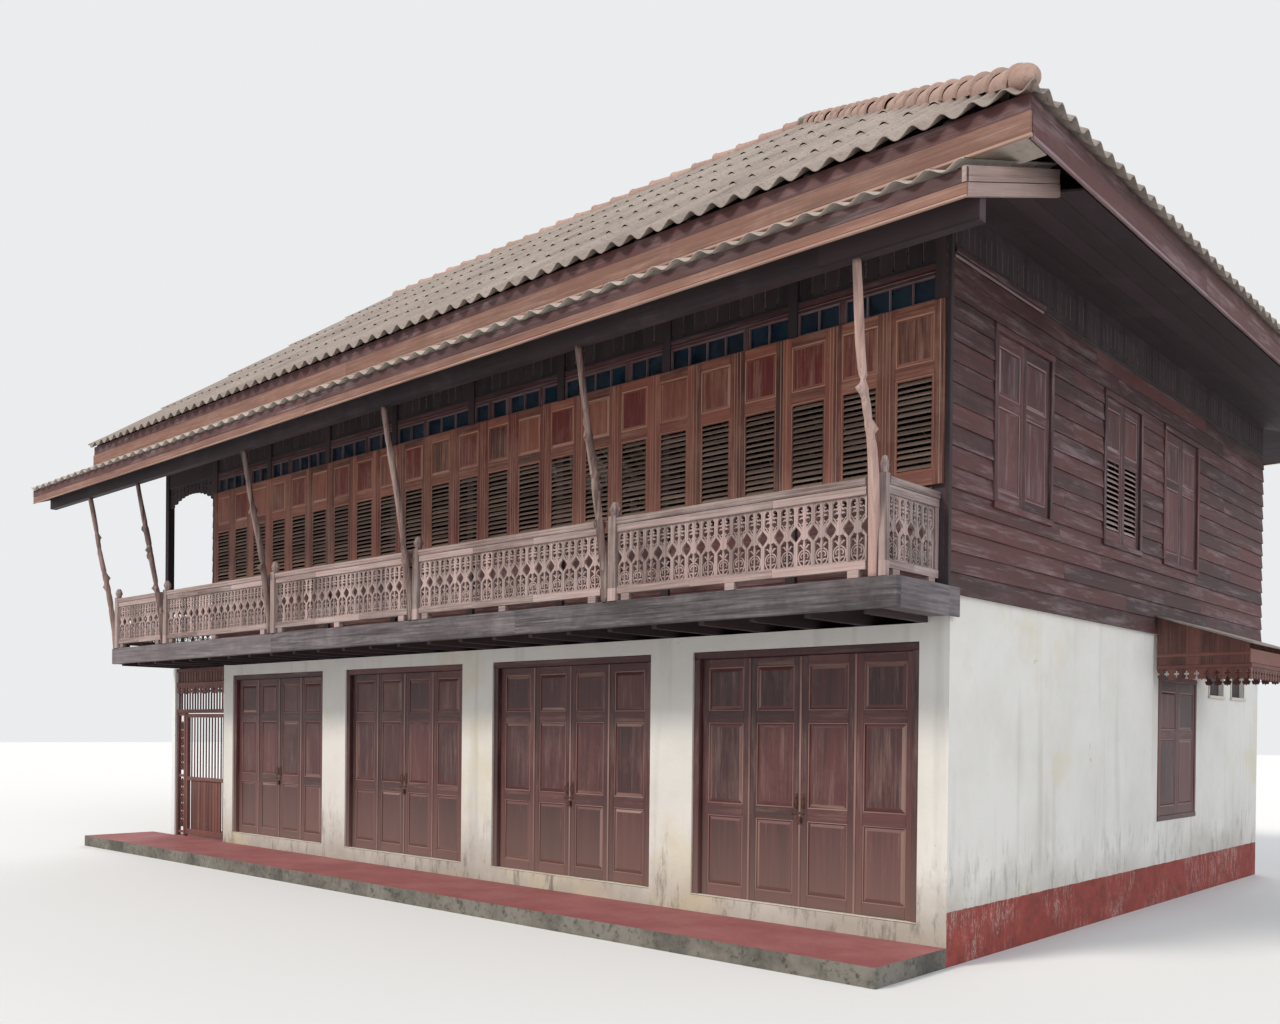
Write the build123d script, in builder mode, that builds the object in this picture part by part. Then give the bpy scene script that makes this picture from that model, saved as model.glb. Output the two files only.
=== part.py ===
"""Two-storey timber and masonry house with a balcony, a lean-to roof and a half-hipped tiled roof.

Millimetres. +X runs along the front to the right, +Y goes back, +Z is up.
The origin is at ground level, at the centre of the house's footprint.
"""
import os

from build123d import *

os.makedirs("parts", exist_ok=True)

# Plan
bay = 3000
bay_count = 4
porch_width = 1690
house_depth = 9000
front_overhang = 130
masonry = 200
stud = 100
board = 25

# Ground storey heights
passage_floor_z = 160
room_floor_z = 320
door_head_z = 2683
joist_bottom_z = 2835
masonry_top_z = 3060
floor_board = 30

# Walkway in front
walkway_depth = 1100
walkway_left_run = 660

# Folding doors
door_width = 2450
door_frame = 70
door_frame_depth = 110
door_setback = 20
door_leaf = 40
door_leaf_inset = 20
door_stile = 70
door_fields = ((100, 750), (850, 1610), (1710, 2200))
door_field_depth = 12
field_margin = 25
field_bevel = 3
leaf_gap = 4
leaves_per_door = 4

# Ground storey side window and its canopy
side_window_start = 4970
side_window_width = 1350
side_window_sill = 940
side_window_head = 2600
canopy_start = 4720
canopy_width = 1850
canopy_reach = 1000
canopy_wall_z = 3240
canopy_edge_z = 2900
canopy_sheet = 12
canopy_inset = 60
canopy_cheek_z = 2700
canopy_valance_z = 2530
vent_hole_starts = (6830, 7750)
vent_hole_width = 560
vent_hole_sill = 2430
vent_hole_head = 2760
vent_panel_set = 50
vent_panel_thick = 40

# Passage
passage_post = 110
screen_rail_z = 2120
screen_slat_z = 2550
screen_rail = 60
screen_setback = 20
slat_pitch = 90
slat_count = 17
slat_width = 60
slat_thick = 20
slat_bar = 22
gate_fixed_width = 240
fixed_rail = 40
fixed_rail_z = 1100
fixed_bar = 24
gate_clearance = 12
gate_foot = 90
gate_mid_z = 1050
gate_mid_half = 15
gate_lift = 30
hinge_radius = 11
hinge_pin = 6
pin_clear = 0.3
hinge_length = 60
hinge_knuckle = 35
hinge_strap = 120
strap_thick = 4
hinge_levels = (550, 1750)
gate_bar = 22
gate_bar_count = 11
gate_frame = 60

# Balcony
balcony_depth = 970
beam_depth = 245
beam_thick = 70
beam_top_z = 3110
joist_width = 60
joist_count = 25
beam_lap = 62
return_beam = 167
return_end = 50
newel = 95
corner_newel = 60
corner_newel_set = 69
newel_rise = 20
rail_bottom_gap = 60
bottom_rail = 70
fret_height = 500
sub_rail = 70
rail_cap = 60
rail_width = 60
cap_lip = 12
block_length = 100
block_inset = 110
block_spacing = 1500
fret_thick = 22
fret_unit = 170
knob_height = 130

# Branch struts
strut_foot = 56
strut_clear = 1
strut_sway = 25
strut_lean = 400
strut_top_z = 5380

# Upper front wall
half_bays = 2
sill_z = 3930
leaf_top_z = 5420
transom_bottom_z = 5440
transom_top_z = 5640
vent_bottom_z = 5720
vent_top_z = 6040
sill_board = 40
transom_bar = 24
glass_thick = 4
front_wall_set = 30
frame_set = 15
frame_deep = 35
vent_rail = 80
porch_beam_z = 5700
porch_beam_set = 10
porch_beam = 60
valance_drop = 350
leaf_count = 23
panes_per_half = 6
leaf_thick = 35
leaf_stile = 55
leaf_rail = 75
leaf_split = 0.68
leaf_field_depth = 10
louvre_depth = 14

# Upper side walls
lap = 170
lap_thick = 18
board_top_z = 5790
side_vent_top_z = 6200
window_sill_z = 3855
window_head_z = 5437
right_windows = ((670, 1220), (3150, 1100), (4940, 1240))
window_frame = 60
frame_proud = 10
post_top_z = 6750

# Main roof
pitch = 0.70
eave_reach = 1168
side_eave_reach = 1150
gable_reach = 250
fascia_bottom_z = 5930
fascia_joint_z = 6110
fascia_top_z = 6240
fascia = 28
tile_thick = 70
tile_overhang = 60
rafter_height = 180
rafter_width = 50
rafter_pitch = 600
fascia_step = 12
joint_gap = 0.5
soffit = 20
ridge_gap = 4
soffit_rise = 15
ridge_radius = 125
cap_drop = 40

# Lean-to roof
leanto_reach = 1634
leanto_right_reach = 924
leanto_left_x_reach = 1410
leanto_pitch = 0.345
leanto_fascia_bottom_z = 5435
leanto_fascia_top_z = 5640
leanto_sheet = 25
leanto_rafter_height = 90
leanto_rafter_width = 50
leanto_rafter_pitch = 1000
leanto_lip = 40
purlin = 90

# Derived planes of the house
x_right = (bay * bay_count + porch_width) / 2
x_left = -x_right
x_room = x_right - bay * bay_count
y_front = -house_depth / 2
y_back = house_depth / 2
y_balcony = y_front - balcony_depth
y_upper = y_front - front_overhang
upper_floor_z = masonry_top_z + floor_board
beam_bottom_z = beam_top_z - beam_depth


def slab(x0, x1, y0, y1, z0, z1, mode=Mode.ADD):
    """One straight-sided block between six planes."""
    with Locations(((x0 + x1) / 2, (y0 + y1) / 2, (z0 + z1) / 2)):
        Box(abs(x1 - x0), abs(y1 - y0), abs(z1 - z0), mode=mode)


def save(piece, name):
    """Label a finished piece and write its STEP file."""
    piece.part.label = name
    export_step(piece.part, f"parts/{name}.step")


def door_centres():
    """Centres of the four door openings along the front, from the right."""
    return [x_right - bay * (i + 0.5) for i in range(bay_count)]


def grid_lines():
    """Front post lines at every half bay between the corner posts."""
    step = bay / half_bays
    return [x_right - step * i for i in range(1, bay_count * half_bays)]


def front_post_centres():
    """All posts in the upper front wall, corner posts included."""
    return [x_right - stud / 2] + grid_lines() + [x_room - stud / 2]


def foundation():
    with BuildPart() as piece:
        slab(x_room, x_right, y_front, y_back, 0, room_floor_z)
    save(piece, "foundation")


def passage_floor():
    with BuildPart() as piece:
        slab(x_left, x_room, y_front, y_back, 0, passage_floor_z)
    save(piece, "passage_floor")


def front_walkway():
    with BuildPart() as piece:
        slab(x_left - walkway_left_run, x_right, y_front - walkway_depth, y_front, 0, passage_floor_z)
    save(piece, "front_walkway")


def front_masonry():
    """Piers between the door openings and the lintel that runs over them."""
    edges = [x_right - masonry]
    for centre in door_centres():
        edges += [centre + door_width / 2, centre - door_width / 2]
    edges.append(x_room + masonry)
    with BuildPart() as piers:
        for right, left in zip(edges[0::2], edges[1::2]):
            slab(left, right, y_front, y_front + masonry, room_floor_z, door_head_z)
    save(piers, "front_piers")
    with BuildPart() as lintel:
        slab(x_room + masonry, x_right - masonry, y_front, y_front + masonry, door_head_z, joist_bottom_z)
    save(lintel, "front_lintel")


def right_masonry_wall():
    with BuildPart() as piece:
        slab(x_right - masonry, x_right, y_front, y_back, room_floor_z, masonry_top_z)
        start = y_front + side_window_start
        slab(x_right - masonry, x_right, start, start + side_window_width,
             side_window_sill, side_window_head, Mode.SUBTRACT)
        for vent in vent_hole_starts:
            slab(x_right - masonry, x_right, y_front + vent, y_front + vent + vent_hole_width,
                 vent_hole_sill, vent_hole_head, Mode.SUBTRACT)
    save(piece, "right_masonry_wall")


def back_masonry_wall():
    with BuildPart() as piece:
        slab(x_room + masonry, x_right - masonry, y_back - masonry, y_back, room_floor_z, joist_bottom_z)
        for centre in (door_centres()[0], door_centres()[2]):
            slab(centre - side_window_width / 2, centre + side_window_width / 2, y_back - masonry, y_back,
                 side_window_sill, side_window_head, Mode.SUBTRACT)
    save(piece, "back_masonry_wall")


def left_masonry_wall():
    with BuildPart() as piece:
        slab(x_room, x_room + masonry, y_front, y_back, room_floor_z, masonry_top_z)
    save(piece, "left_masonry_wall")


def door_frames():
    y0 = y_front + door_setback
    with BuildPart() as piece:
        for centre in door_centres():
            left, right = centre - door_width / 2, centre + door_width / 2
            slab(left, right, y0, y0 + door_frame_depth, door_head_z - door_frame, door_head_z)
            for x in (left, right - door_frame):
                slab(x, x + door_frame, y0, y0 + door_frame_depth, room_floor_z, door_head_z - door_frame - joint_gap)
    save(piece, "door_frames")


def panelled_leaf(width, height, thick, stile, rails, tall_gap):
    """A framed leaf standing on its base, its face at y = 0, with one raised field in each opening.

    rails lists the heights of the openings' bottoms and tops, from the base up.
    """
    with BuildPart() as leaf:
        slab(0, width, 0, thick, 0, height)
        for low, high in rails:
            slab(stile, width - stile, 0, tall_gap, low, high, Mode.SUBTRACT)
            with BuildSketch(Plane.XZ.offset(-tall_gap)):
                with Locations((width / 2, (low + high) / 2)):
                    Rectangle(width - 2 * (stile + field_margin), high - low - 2 * field_margin)
            extrude(amount=tall_gap - field_bevel, taper=40)
    return leaf.part


def folding_doors():
    """Four closed leaves in each front opening, three fielded panels to a leaf."""
    inner = door_width - 2 * door_frame
    pitch_x = inner / leaves_per_door
    height = door_head_z - door_frame - room_floor_z
    leaf = panelled_leaf(pitch_x - leaf_gap, height, door_leaf, door_stile, door_fields, door_field_depth)
    y0 = y_front + door_setback + door_frame_depth - door_leaf - door_leaf_inset
    spots = []
    for centre in door_centres():
        start = centre - inner / 2 + leaf_gap / 2
        spots += [(start + pitch_x * i, y0, room_floor_z) for i in range(leaves_per_door)]
    with BuildPart() as piece:
        with Locations(*spots):
            add(leaf)
    save(piece, "folding_doors")


def canopy():
    """Small roof over the side window: sheet, two boarded cheeks and a front rail with a pierced valance."""
    y0 = y_front + canopy_start
    y1 = y0 + canopy_width
    slope = (canopy_wall_z - canopy_edge_z) / canopy_reach
    wall_x = x_right + board + lap_thick
    reach = canopy_reach - canopy_inset
    with BuildPart() as cheeks:
        for y in (y0 + canopy_inset, y1 - canopy_inset - board):
            with BuildSketch(Plane.XZ.offset(-y)):
                with BuildLine():
                    Polyline((wall_x, canopy_cheek_z), (wall_x + reach, canopy_cheek_z),
                             (wall_x + reach, canopy_wall_z - slope * reach), (wall_x, canopy_wall_z), close=True)
                make_face()
            extrude(amount=-board)
        front_x = wall_x + reach + joint_gap
        slab(front_x, front_x + board, y0 + canopy_inset, y1 - canopy_inset, canopy_valance_z,
             canopy_wall_z - slope * (reach + board + 1))
    save(cheeks, "canopy_frame")
    with BuildPart() as sheet:
        with BuildSketch(Plane.XZ.offset(-y0)):
            with BuildLine():
                Polyline((wall_x, canopy_wall_z), (wall_x + canopy_reach, canopy_edge_z),
                         (wall_x + canopy_reach, canopy_edge_z + canopy_sheet),
                         (wall_x, canopy_wall_z + canopy_sheet), close=True)
            make_face()
        extrude(amount=-canopy_width)
    save(sheet, "canopy_sheet")


def passage_front():
    """Painted posts, the fixed slatted screen with its cut edge, and the hinged gate below."""
    post_x = x_left + passage_post
    with BuildPart() as posts:
        spots = [(x_left + passage_post / 2, y, (passage_floor_z + joist_bottom_z) / 2) for y in porch_post_lines(y_front)]
        with Locations(*spots):
            Box(passage_post, passage_post, joist_bottom_z - passage_floor_z)
    save(posts, "passage_posts")

    y0 = y_front + screen_setback
    y1 = y0 + screen_rail
    y_mid = (y0 + y1) / 2
    with BuildPart() as screen:
        slab(post_x, x_room, y0, y1, screen_rail_z, screen_rail_z + screen_rail)
        slab(post_x, x_room, y0, y1, screen_slat_z, screen_slat_z + screen_rail)
        slab(post_x, x_room, y0, y1, joist_bottom_z - screen_rail, joist_bottom_z)
        slat_zone = (screen_slat_z + joist_bottom_z) / 2
        with Locations((( post_x + x_room) / 2, y_mid, slat_zone)):
            with GridLocations(slat_pitch, 1, slat_count, 1):
                Box(slat_width, slat_thick, joist_bottom_z - screen_slat_z - 2 * screen_rail + 2)
        with Locations(((post_x + x_room) / 2, y_mid, (screen_rail_z + screen_slat_z) / 2 + screen_rail / 2)):
            with GridLocations(slat_pitch, 1, slat_count, 1):
                Box(slat_bar, slat_bar, screen_slat_z - screen_rail_z - screen_rail + 2)
        side_top = screen_rail_z - joint_gap
        slab(post_x, post_x + screen_rail, y0, y1, passage_floor_z, side_top)
        slab(post_x + gate_fixed_width, post_x + gate_fixed_width + screen_rail, y0, y1, passage_floor_z, side_top)
        for low in (passage_floor_z + fixed_rail, fixed_rail_z, side_top - fixed_rail):
            slab(post_x + screen_rail, post_x + gate_fixed_width, y_mid - gate_mid_half, y_mid + gate_mid_half,
                 low, low + fixed_rail)
        with Locations((post_x + (screen_rail + gate_fixed_width) / 2, y_mid,
                        (passage_floor_z + screen_rail + side_top) / 2)):
            with GridLocations((gate_fixed_width - screen_rail) / 3, 1, 2, 1):
                Box(fixed_bar, fixed_bar, side_top - passage_floor_z - screen_rail)
    save(screen, "passage_screen")

    hinge_x, hinge_y = x_room - gate_clearance, y1 + hinge_radius + 1
    gate_left = post_x + gate_fixed_width + screen_rail + gate_clearance
    low, high = passage_floor_z + gate_lift, screen_rail_z - gate_clearance
    y_gate = (y0 + y1) / 2
    inner_width = hinge_x - gate_left - 2 * gate_frame
    with BuildPart() as gate:
        slab(gate_left, hinge_x, y0, y1, low, high)
        slab(gate_left + gate_frame, hinge_x - gate_frame, y0, y1, low + gate_foot, high - gate_frame, Mode.SUBTRACT)
        with Locations(((gate_left + hinge_x) / 2, y_gate, (low + high) / 2)):
            with GridLocations(inner_width / (gate_bar_count + 1), 1, gate_bar_count, 1):
                Box(gate_bar, gate_bar, high - low - gate_frame)
        slab(gate_left + gate_frame, hinge_x - gate_frame, y_gate - gate_mid_half, y_gate + gate_mid_half,
             gate_mid_z, gate_mid_z + gate_frame)
        for z in hinge_levels:
            slab(hinge_x - hinge_strap, hinge_x, y1, y1 + strap_thick, z - hinge_length / 2, z + hinge_length / 2)
            with Locations((hinge_x, hinge_y, z)):
                Cylinder(hinge_radius, hinge_length)
                Cylinder(hinge_pin + pin_clear, hinge_length, mode=Mode.SUBTRACT)
    save(gate, "passage_gate")

    with BuildPart() as hinges:
        for z in hinge_levels:
            for side in (-1, 1):
                centre = z + side * (hinge_length + pin_clear * 2) / 2 + side * hinge_knuckle / 2
                with Locations((hinge_x, hinge_y, centre)):
                    Cylinder(hinge_radius, hinge_knuckle)
                slab(hinge_x, x_room, hinge_y - hinge_radius, hinge_y + hinge_radius,
                     centre - hinge_knuckle / 2, centre + hinge_knuckle / 2)
            with Locations((hinge_x, hinge_y, z)):
                Cylinder(hinge_pin, hinge_length + hinge_knuckle)
    save(hinges, "gate_hinges")


def porch_post_lines(start):
    """Post lines along the open left side, from the front face at start to the back."""
    run = y_back - start - stud
    return [start + stud / 2 + run * i / 3 for i in range(4)]


def floor_joists():
    """Joists from front to back that carry the upper floor and reach out to the balcony's edge beam."""
    span = x_right - x_left - 2 * masonry - joist_width
    gaps = joist_count - 1
    with BuildPart() as piece:
        y0, y1 = y_balcony + beam_thick, y_back
        for i in range(joist_count):
            x = x_left + masonry + joist_width / 2 + span * i / gaps
            if abs(x - x_room - masonry / 2) < masonry / 2 + joist_width / 2:
                x = x_room + masonry + joist_width / 2
            slab(x - joist_width / 2, x + joist_width / 2, y0, y1, joist_bottom_z, masonry_top_z)
    save(piece, "floor_joists")


def upper_floor():
    with BuildPart() as piece:
        slab(x_left, x_right, y_balcony + beam_thick, y_back, masonry_top_z, upper_floor_z)
        for left, right in ((x_right + beam_lap - return_beam, x_right), (x_left, x_left + beam_thick)):
            slab(left, right, y_balcony + beam_thick, y_upper, masonry_top_z, upper_floor_z, Mode.SUBTRACT)
    save(piece, "upper_floor")


def balcony_beam():
    """Edge beam along the balcony, and its returns to the wall at both ends."""
    with BuildPart() as piece:
        outer = x_right + beam_lap
        near = y_balcony + beam_thick
        slab(x_left, outer, y_balcony, near, beam_bottom_z, beam_top_z)
        slab(outer - return_beam, outer, near + joint_gap, y_upper, beam_bottom_z, beam_top_z)
        slab(x_left, x_left + beam_thick, near + joint_gap, y_upper, beam_bottom_z, beam_top_z)
        boards = x_right + board + lap_thick + joint_gap
        slab(boards, outer, y_upper, y_front + return_end, beam_bottom_z, beam_top_z)
    save(piece, "balcony_beam")


def strut_lines():
    """Branch struts stand at every bay line, and at the far end of the porch bay."""
    first = corner_newel_x() - strut_room(corner_newel)
    return [first] + [x_right - bay * i for i in range(1, bay_count + 1)] + [x_left + strut_foot + 5]


def strut_room(width):
    """Distance from the middle of a newel of that width to the strut beside it."""
    return width / 2 + strut_foot + strut_clear


def corner_newel_x():
    """The slim corner newel stands on the edge beam, over the inner side of the return."""
    return x_right - corner_newel_set


def newel_lines():
    """Each newel stands to the right of a strut, as its middle and width; the corner one comes first."""
    return [(corner_newel_x(), corner_newel)] + [(x + strut_room(newel), newel) for x in strut_lines()[1:]]


def newels():
    """Square posts with faceted knobs."""
    y = y_balcony + beam_thick / 2
    top = rail_levels()[-1] + newel_rise
    with BuildPart() as piece:
        for x, width in newel_lines():
            slab(x - width / 2, x + width / 2, y - width / 2, y + width / 2, beam_top_z, top)
            for low, high, first, last in ((0, 0.5, 0.35, 0.6), (0.5, 1, 0.6, 0.3)):
                with BuildSketch(Plane(origin=(x, y, top + knob_height * low))) as under:
                    RegularPolygon(width * first, 8)
                with BuildSketch(Plane(origin=(x, y, top + knob_height * high))) as over:
                    RegularPolygon(width * last, 8)
                loft([under.sketch, over.sketch], ruled=True)
    save(piece, "balcony_newels")


def branch_struts():
    """Crooked debarked branches that lean out from the edge beam to the lean-to's purlin."""
    y_low = y_balcony + beam_thick / 2
    rise = strut_top_z - beam_top_z
    with BuildPart() as piece:
        for i, x in enumerate(strut_lines()):
            sway = strut_sway * (-1) ** i
            stations = (
                (0, 0, 0, 1),
                (0, 0.06, 0.12, 0.95),
                (sway, 0.35, 0.42, 0.85),
                (-sway * 0.6, 0.72, 0.75, 0.78),
                (0, 1, 1, 0.72),
            )
            rings = []
            for shift, lean, height, size in stations:
                centre = (x + shift, y_low - strut_lean * lean, beam_top_z + rise * height)
                with BuildSketch(Plane(origin=centre)) as ring:
                    RegularPolygon(strut_foot * size, 10)
                rings.append(ring.sketch)
            loft(rings, ruled=True)
    save(piece, "branch_struts")


def railing_runs():
    """Spans of the railing along the balcony, from a newel to the next strut, as (left, right)."""
    lefts = [x + width / 2 for x, width in newel_lines()[1:]]
    rights = [x - strut_foot - strut_clear for x in strut_lines()[:-1]]
    return list(zip(lefts, rights))


def rail_levels():
    """Heights of the rails above the beam: bottom rail, panel, upper rail and cap."""
    low = beam_top_z + rail_bottom_gap
    fret_low = low + bottom_rail
    fret_high = fret_low + fret_height
    cap_low = fret_high + sub_rail
    return low, fret_low, fret_high, cap_low, cap_low + rail_cap


def fret_panel(length):
    """A pierced board railing: pairs of cut boards that leave diamonds and drop-shaped holes between them."""
    count = max(1, round(length / fret_unit))
    unit = length / count
    h = fret_height
    with BuildPart() as panel:
        with BuildSketch(Plane.XZ):
            with Locations((length / 2, h / 2)):
                Rectangle(length, h)
            with Locations((length / 2, h / 2)):
                with GridLocations(unit, 1, count - 1, 1) if count > 1 else GridLocations(1, 1, 1, 1):
                    Polygon((0, 42), (30, 0), (0, -42), (-30, 0), align=(Align.CENTER, Align.CENTER), mode=Mode.SUBTRACT)
            for side in (-1, 1):
                for turn in (-1, 1):
                    with Locations((length / 2 + turn * unit * 0.24, h / 2 + side * h * 0.31)):
                        with GridLocations(unit, 1, count, 1):
                            Polygon((-12, -62), (12, -40), (16, 48), (-12, 62),
                                    align=(Align.CENTER, Align.CENTER), mode=Mode.SUBTRACT)
        extrude(amount=fret_thick / 2, both=True)
    return panel.part


def balcony_railing():
    """Rails between the newels, the pierced panels they hold and the short return to the wall."""
    low, fret_low, fret_high, cap_low, cap_top = rail_levels()
    y = y_balcony + beam_thick / 2
    x_end = corner_newel_x()
    half = rail_width / 2
    returns = ((x_end, y + corner_newel / 2, cap_lip), (x_left + beam_thick / 2, y + strut_foot + strut_clear, 0))
    with BuildPart() as rails:
        for left, right in railing_runs():
            slab(left, right, y - half, y + half, low, fret_low)
            slab(left, right, y - half, y + half, fret_high, cap_low)
            slab(left, right, y - half - cap_lip, y + half + cap_lip, cap_low, cap_top)
            blocks = max(2, round((right - left) / block_spacing) + 1)
            step = (right - left - 2 * block_inset) / (blocks - 1)
            spots = [(left + block_inset + step * i, y, (beam_top_z + low) / 2) for i in range(blocks)]
            with Locations(*spots):
                Box(block_length, rail_width, low - beam_top_z)
        for x, start, lip in returns:
            slab(x - half, x + half, start, y_upper, low, fret_low)
            slab(x - half, x + half, start, y_upper, fret_high, cap_low)
            slab(x - half - lip, x + half + lip, start, y_upper, cap_low, cap_top)
            for y_block in (start + block_inset, y_upper - block_inset):
                slab(x - half, x + half, y_block - block_length / 2, y_block + block_length / 2, beam_top_z, low)
    save(rails, "balcony_rails")

    panels = {}
    with BuildPart() as piece:
        for left, right in railing_runs():
            length = round(right - left, 3)
            if length not in panels:
                panels[length] = fret_panel(length)
            with Locations((left, y, fret_low)):
                add(panels[length], clean=False)
        for x, start, _ in returns:
            turned = Plane(origin=(x, start, fret_low), x_dir=(0, 1, 0), z_dir=(0, 0, 1))
            with Locations(turned):
                add(fret_panel(y_upper - start), clean=False)
    save(piece, "fretwork_panels")


def porch_railing():
    """Railing along the open left side of the porch, post to post."""
    low, fret_low, fret_high, cap_low, cap_top = rail_levels()
    x = x_left + stud / 2
    half = rail_width / 2
    lines = porch_post_lines(y_upper)
    with BuildPart() as piece:
        for near, far in zip(lines[:-1], lines[1:]):
            y0, y1 = near + stud / 2, far - stud / 2
            slab(x - half, x + half, y0, y1, low, fret_low)
            slab(x - half, x + half, y0, y1, fret_high, cap_low)
            slab(x - half, x + half, y0, y1, cap_low, cap_top)
            slab(x - fret_thick / 2, x + fret_thick / 2, y0, y1, fret_low, fret_high)
    save(piece, "porch_railing")


def side_post_lines():
    """Post lines in the side walls between the corner posts, clear of the windows."""
    starts = [y_front + start - stud / 2 for start, width in right_windows]
    ends = [y_front + start + width + stud / 2 for start, width in right_windows]
    return starts + ends


def wall_posts():
    """Posts of the upper storey: front, sides, back and the open porch."""
    with BuildPart() as piece:
        for x in front_post_centres():
            slab(x - stud / 2, x + stud / 2, y_upper, y_upper + stud, upper_floor_z, post_top_z)
        for x in front_post_centres()[::half_bays]:
            slab(x - stud / 2, x + stud / 2, y_back - stud, y_back, upper_floor_z, post_top_z)
        for y in side_post_lines():
            slab(x_right - stud, x_right, y - stud / 2, y + stud / 2, upper_floor_z, post_top_z)
        for y in porch_post_lines(y_upper):
            slab(x_left, x_left + stud, y - stud / 2, y + stud / 2, upper_floor_z, post_top_z)
    save(piece, "wall_posts")


def plate_tops():
    """Heights of the plates' tops under the rafters: front, back and the right side."""
    reaches = (eave_reach - front_overhang, eave_reach, side_eave_reach)
    return tuple(fascia_top_z + pitch * reach - rafter_height for reach in reaches)


def wall_plates():
    """Plates on the posts that carry the rafters."""
    front_high, high, side_high = plate_tops()
    with BuildPart() as piece:
        slab(x_left, x_right, y_upper, y_upper + stud, post_top_z, front_high)
        slab(x_left, x_right - stud - joint_gap, y_back - stud, y_back, post_top_z, high)
        slab(x_left, x_left + stud, y_front, y_back - stud - joint_gap, post_top_z, high)
        slab(x_right - stud, x_right, y_front, y_back, post_top_z, side_high)
    save(piece, "wall_plates")


def front_openings():
    """Clear spans between the posts of the upper front wall, from the right, as (left, right)."""
    posts = front_post_centres()
    return [(left + stud / 2, right - stud / 2) for right, left in zip(posts[:-1], posts[1:])]


def front_wall():
    """Sill wall, transom lights, glass and pierced boards between the posts of the upper front wall."""
    y0 = y_upper + front_wall_set
    spans = front_openings()
    with BuildPart() as sill_wall:
        for left, right in spans:
            slab(left, right, y0, y0 + board, upper_floor_z, sill_z - sill_board)
            slab(left, right, y_upper, y_upper + stud, sill_z - sill_board, sill_z)
    save(sill_wall, "front_sill_wall")
    frame_front = y_upper + frame_set
    frame_back = frame_front + frame_deep
    with BuildPart() as frames:
        for left, right in spans:
            pane = (right - left) / panes_per_half
            slab(left, right, frame_front, frame_back, leaf_top_z, vent_bottom_z)
            with Locations(((left + right) / 2, (frame_front + frame_back) / 2, (transom_bottom_z + transom_top_z) / 2)):
                with GridLocations(pane, 1, panes_per_half, 1):
                    Box(pane - transom_bar, frame_back - frame_front, transom_top_z - transom_bottom_z,
                        mode=Mode.SUBTRACT)
    save(frames, "transom_frames")
    with BuildPart() as glass:
        for left, right in spans:
            slab(left, right, frame_back, frame_back + glass_thick, leaf_top_z, vent_bottom_z)
    save(glass, "transom_glass")
    with BuildPart() as vents:
        for left, right in spans:
            slab(left, right, y0, y0 + board, vent_bottom_z, post_top_z)
            slab(left, right, frame_front, y_upper + stud, vent_top_z, vent_top_z + vent_rail)
    save(vents, "front_vent_boards")


def louvred_leaf(width, height):
    """A shutter leaf with a fielded panel above and a louvred opening below."""
    split = height * leaf_split
    with BuildPart() as leaf:
        slab(0, width, 0, leaf_thick, 0, height)
        slab(leaf_stile, width - leaf_stile, 0, leaf_field_depth, split + leaf_stile, height - leaf_stile, Mode.SUBTRACT)
        slab(leaf_stile, width - leaf_stile, 0, louvre_depth, 2 * leaf_stile, split, Mode.SUBTRACT)
    return leaf.part


def front_shutters():
    """Louvred leaves of the upper front, side by side before the posts from corner to corner."""
    step = (x_right - x_room) / leaf_count
    leaf = louvred_leaf(step - leaf_gap, leaf_top_z - sill_z)
    spots = [(x_room + step * i + leaf_gap / 2, y_upper - leaf_thick, sill_z) for i in range(leaf_count)]
    with BuildPart() as piece:
        with Locations(*spots):
            add(leaf)
    save(piece, "front_shutters")


def lapped_wall(length, height, openings):
    """A wall skin of lapped boards along +X, its outer face towards -Y, with window openings cut through."""
    laps = round(height / lap)
    step = height / laps
    outline = [(0, 0)]
    for i in range(laps):
        outline.append((-board - lap_thick, i * step))
        outline.append((-board, (i + 1) * step))
    outline.append((0, height))
    with BuildPart() as skin:
        with BuildSketch(Plane.YZ):
            with BuildLine():
                Polyline(*outline, close=True)
            make_face()
        extrude(amount=length)
        for start, width, low, high in openings:
            slab(start, start + width, -board - lap_thick - 1, 1, low, high, Mode.SUBTRACT)
    return skin.part


def upper_side_walls():
    """Boarded skins of the right, back and left upper walls."""
    height = board_top_z - masonry_top_z
    sill, head = window_sill_z - masonry_top_z, window_head_z - masonry_top_z
    holes = [(front_overhang + start, width, sill, head) for start, width in right_windows]
    depth = y_back - y_upper
    with BuildPart() as right:
        with Locations(Plane(origin=(x_right, y_upper, masonry_top_z), x_dir=(0, 1, 0), z_dir=(0, 0, 1))):
            add(lapped_wall(depth, height, holes))
    save(right, "right_board_wall")
    length = x_right - x_room
    width = right_windows[0][1]
    holes = [(bay * (i + 0.5) - width / 2, width, sill, head) for i in range(bay_count)]
    with BuildPart() as back:
        with Locations(Plane(origin=(x_right, y_back, masonry_top_z), x_dir=(-1, 0, 0), z_dir=(0, 0, 1))):
            add(lapped_wall(length, height, holes))
    save(back, "back_board_wall")
    with BuildPart() as left:
        with Locations(Plane(origin=(x_room - stud, y_back, upper_floor_z), x_dir=(0, -1, 0), z_dir=(0, 0, 1))):
            add(lapped_wall(depth, post_top_z - upper_floor_z, []))
    save(left, "left_board_wall")


def side_vent_boards():
    """Upright boards with slits above the lapped boards."""
    with BuildPart() as piece:
        slab(x_right, x_right + board, y_upper, y_back, board_top_z, side_vent_top_z)
        slab(x_room - stud, x_right, y_back, y_back + board, board_top_z, side_vent_top_z)
    save(piece, "side_vent_boards")


def roof_top(y):
    """Height of the tile underside above a point of the front slope."""
    return fascia_top_z + pitch * (y - (y_front - eave_reach))


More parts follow.
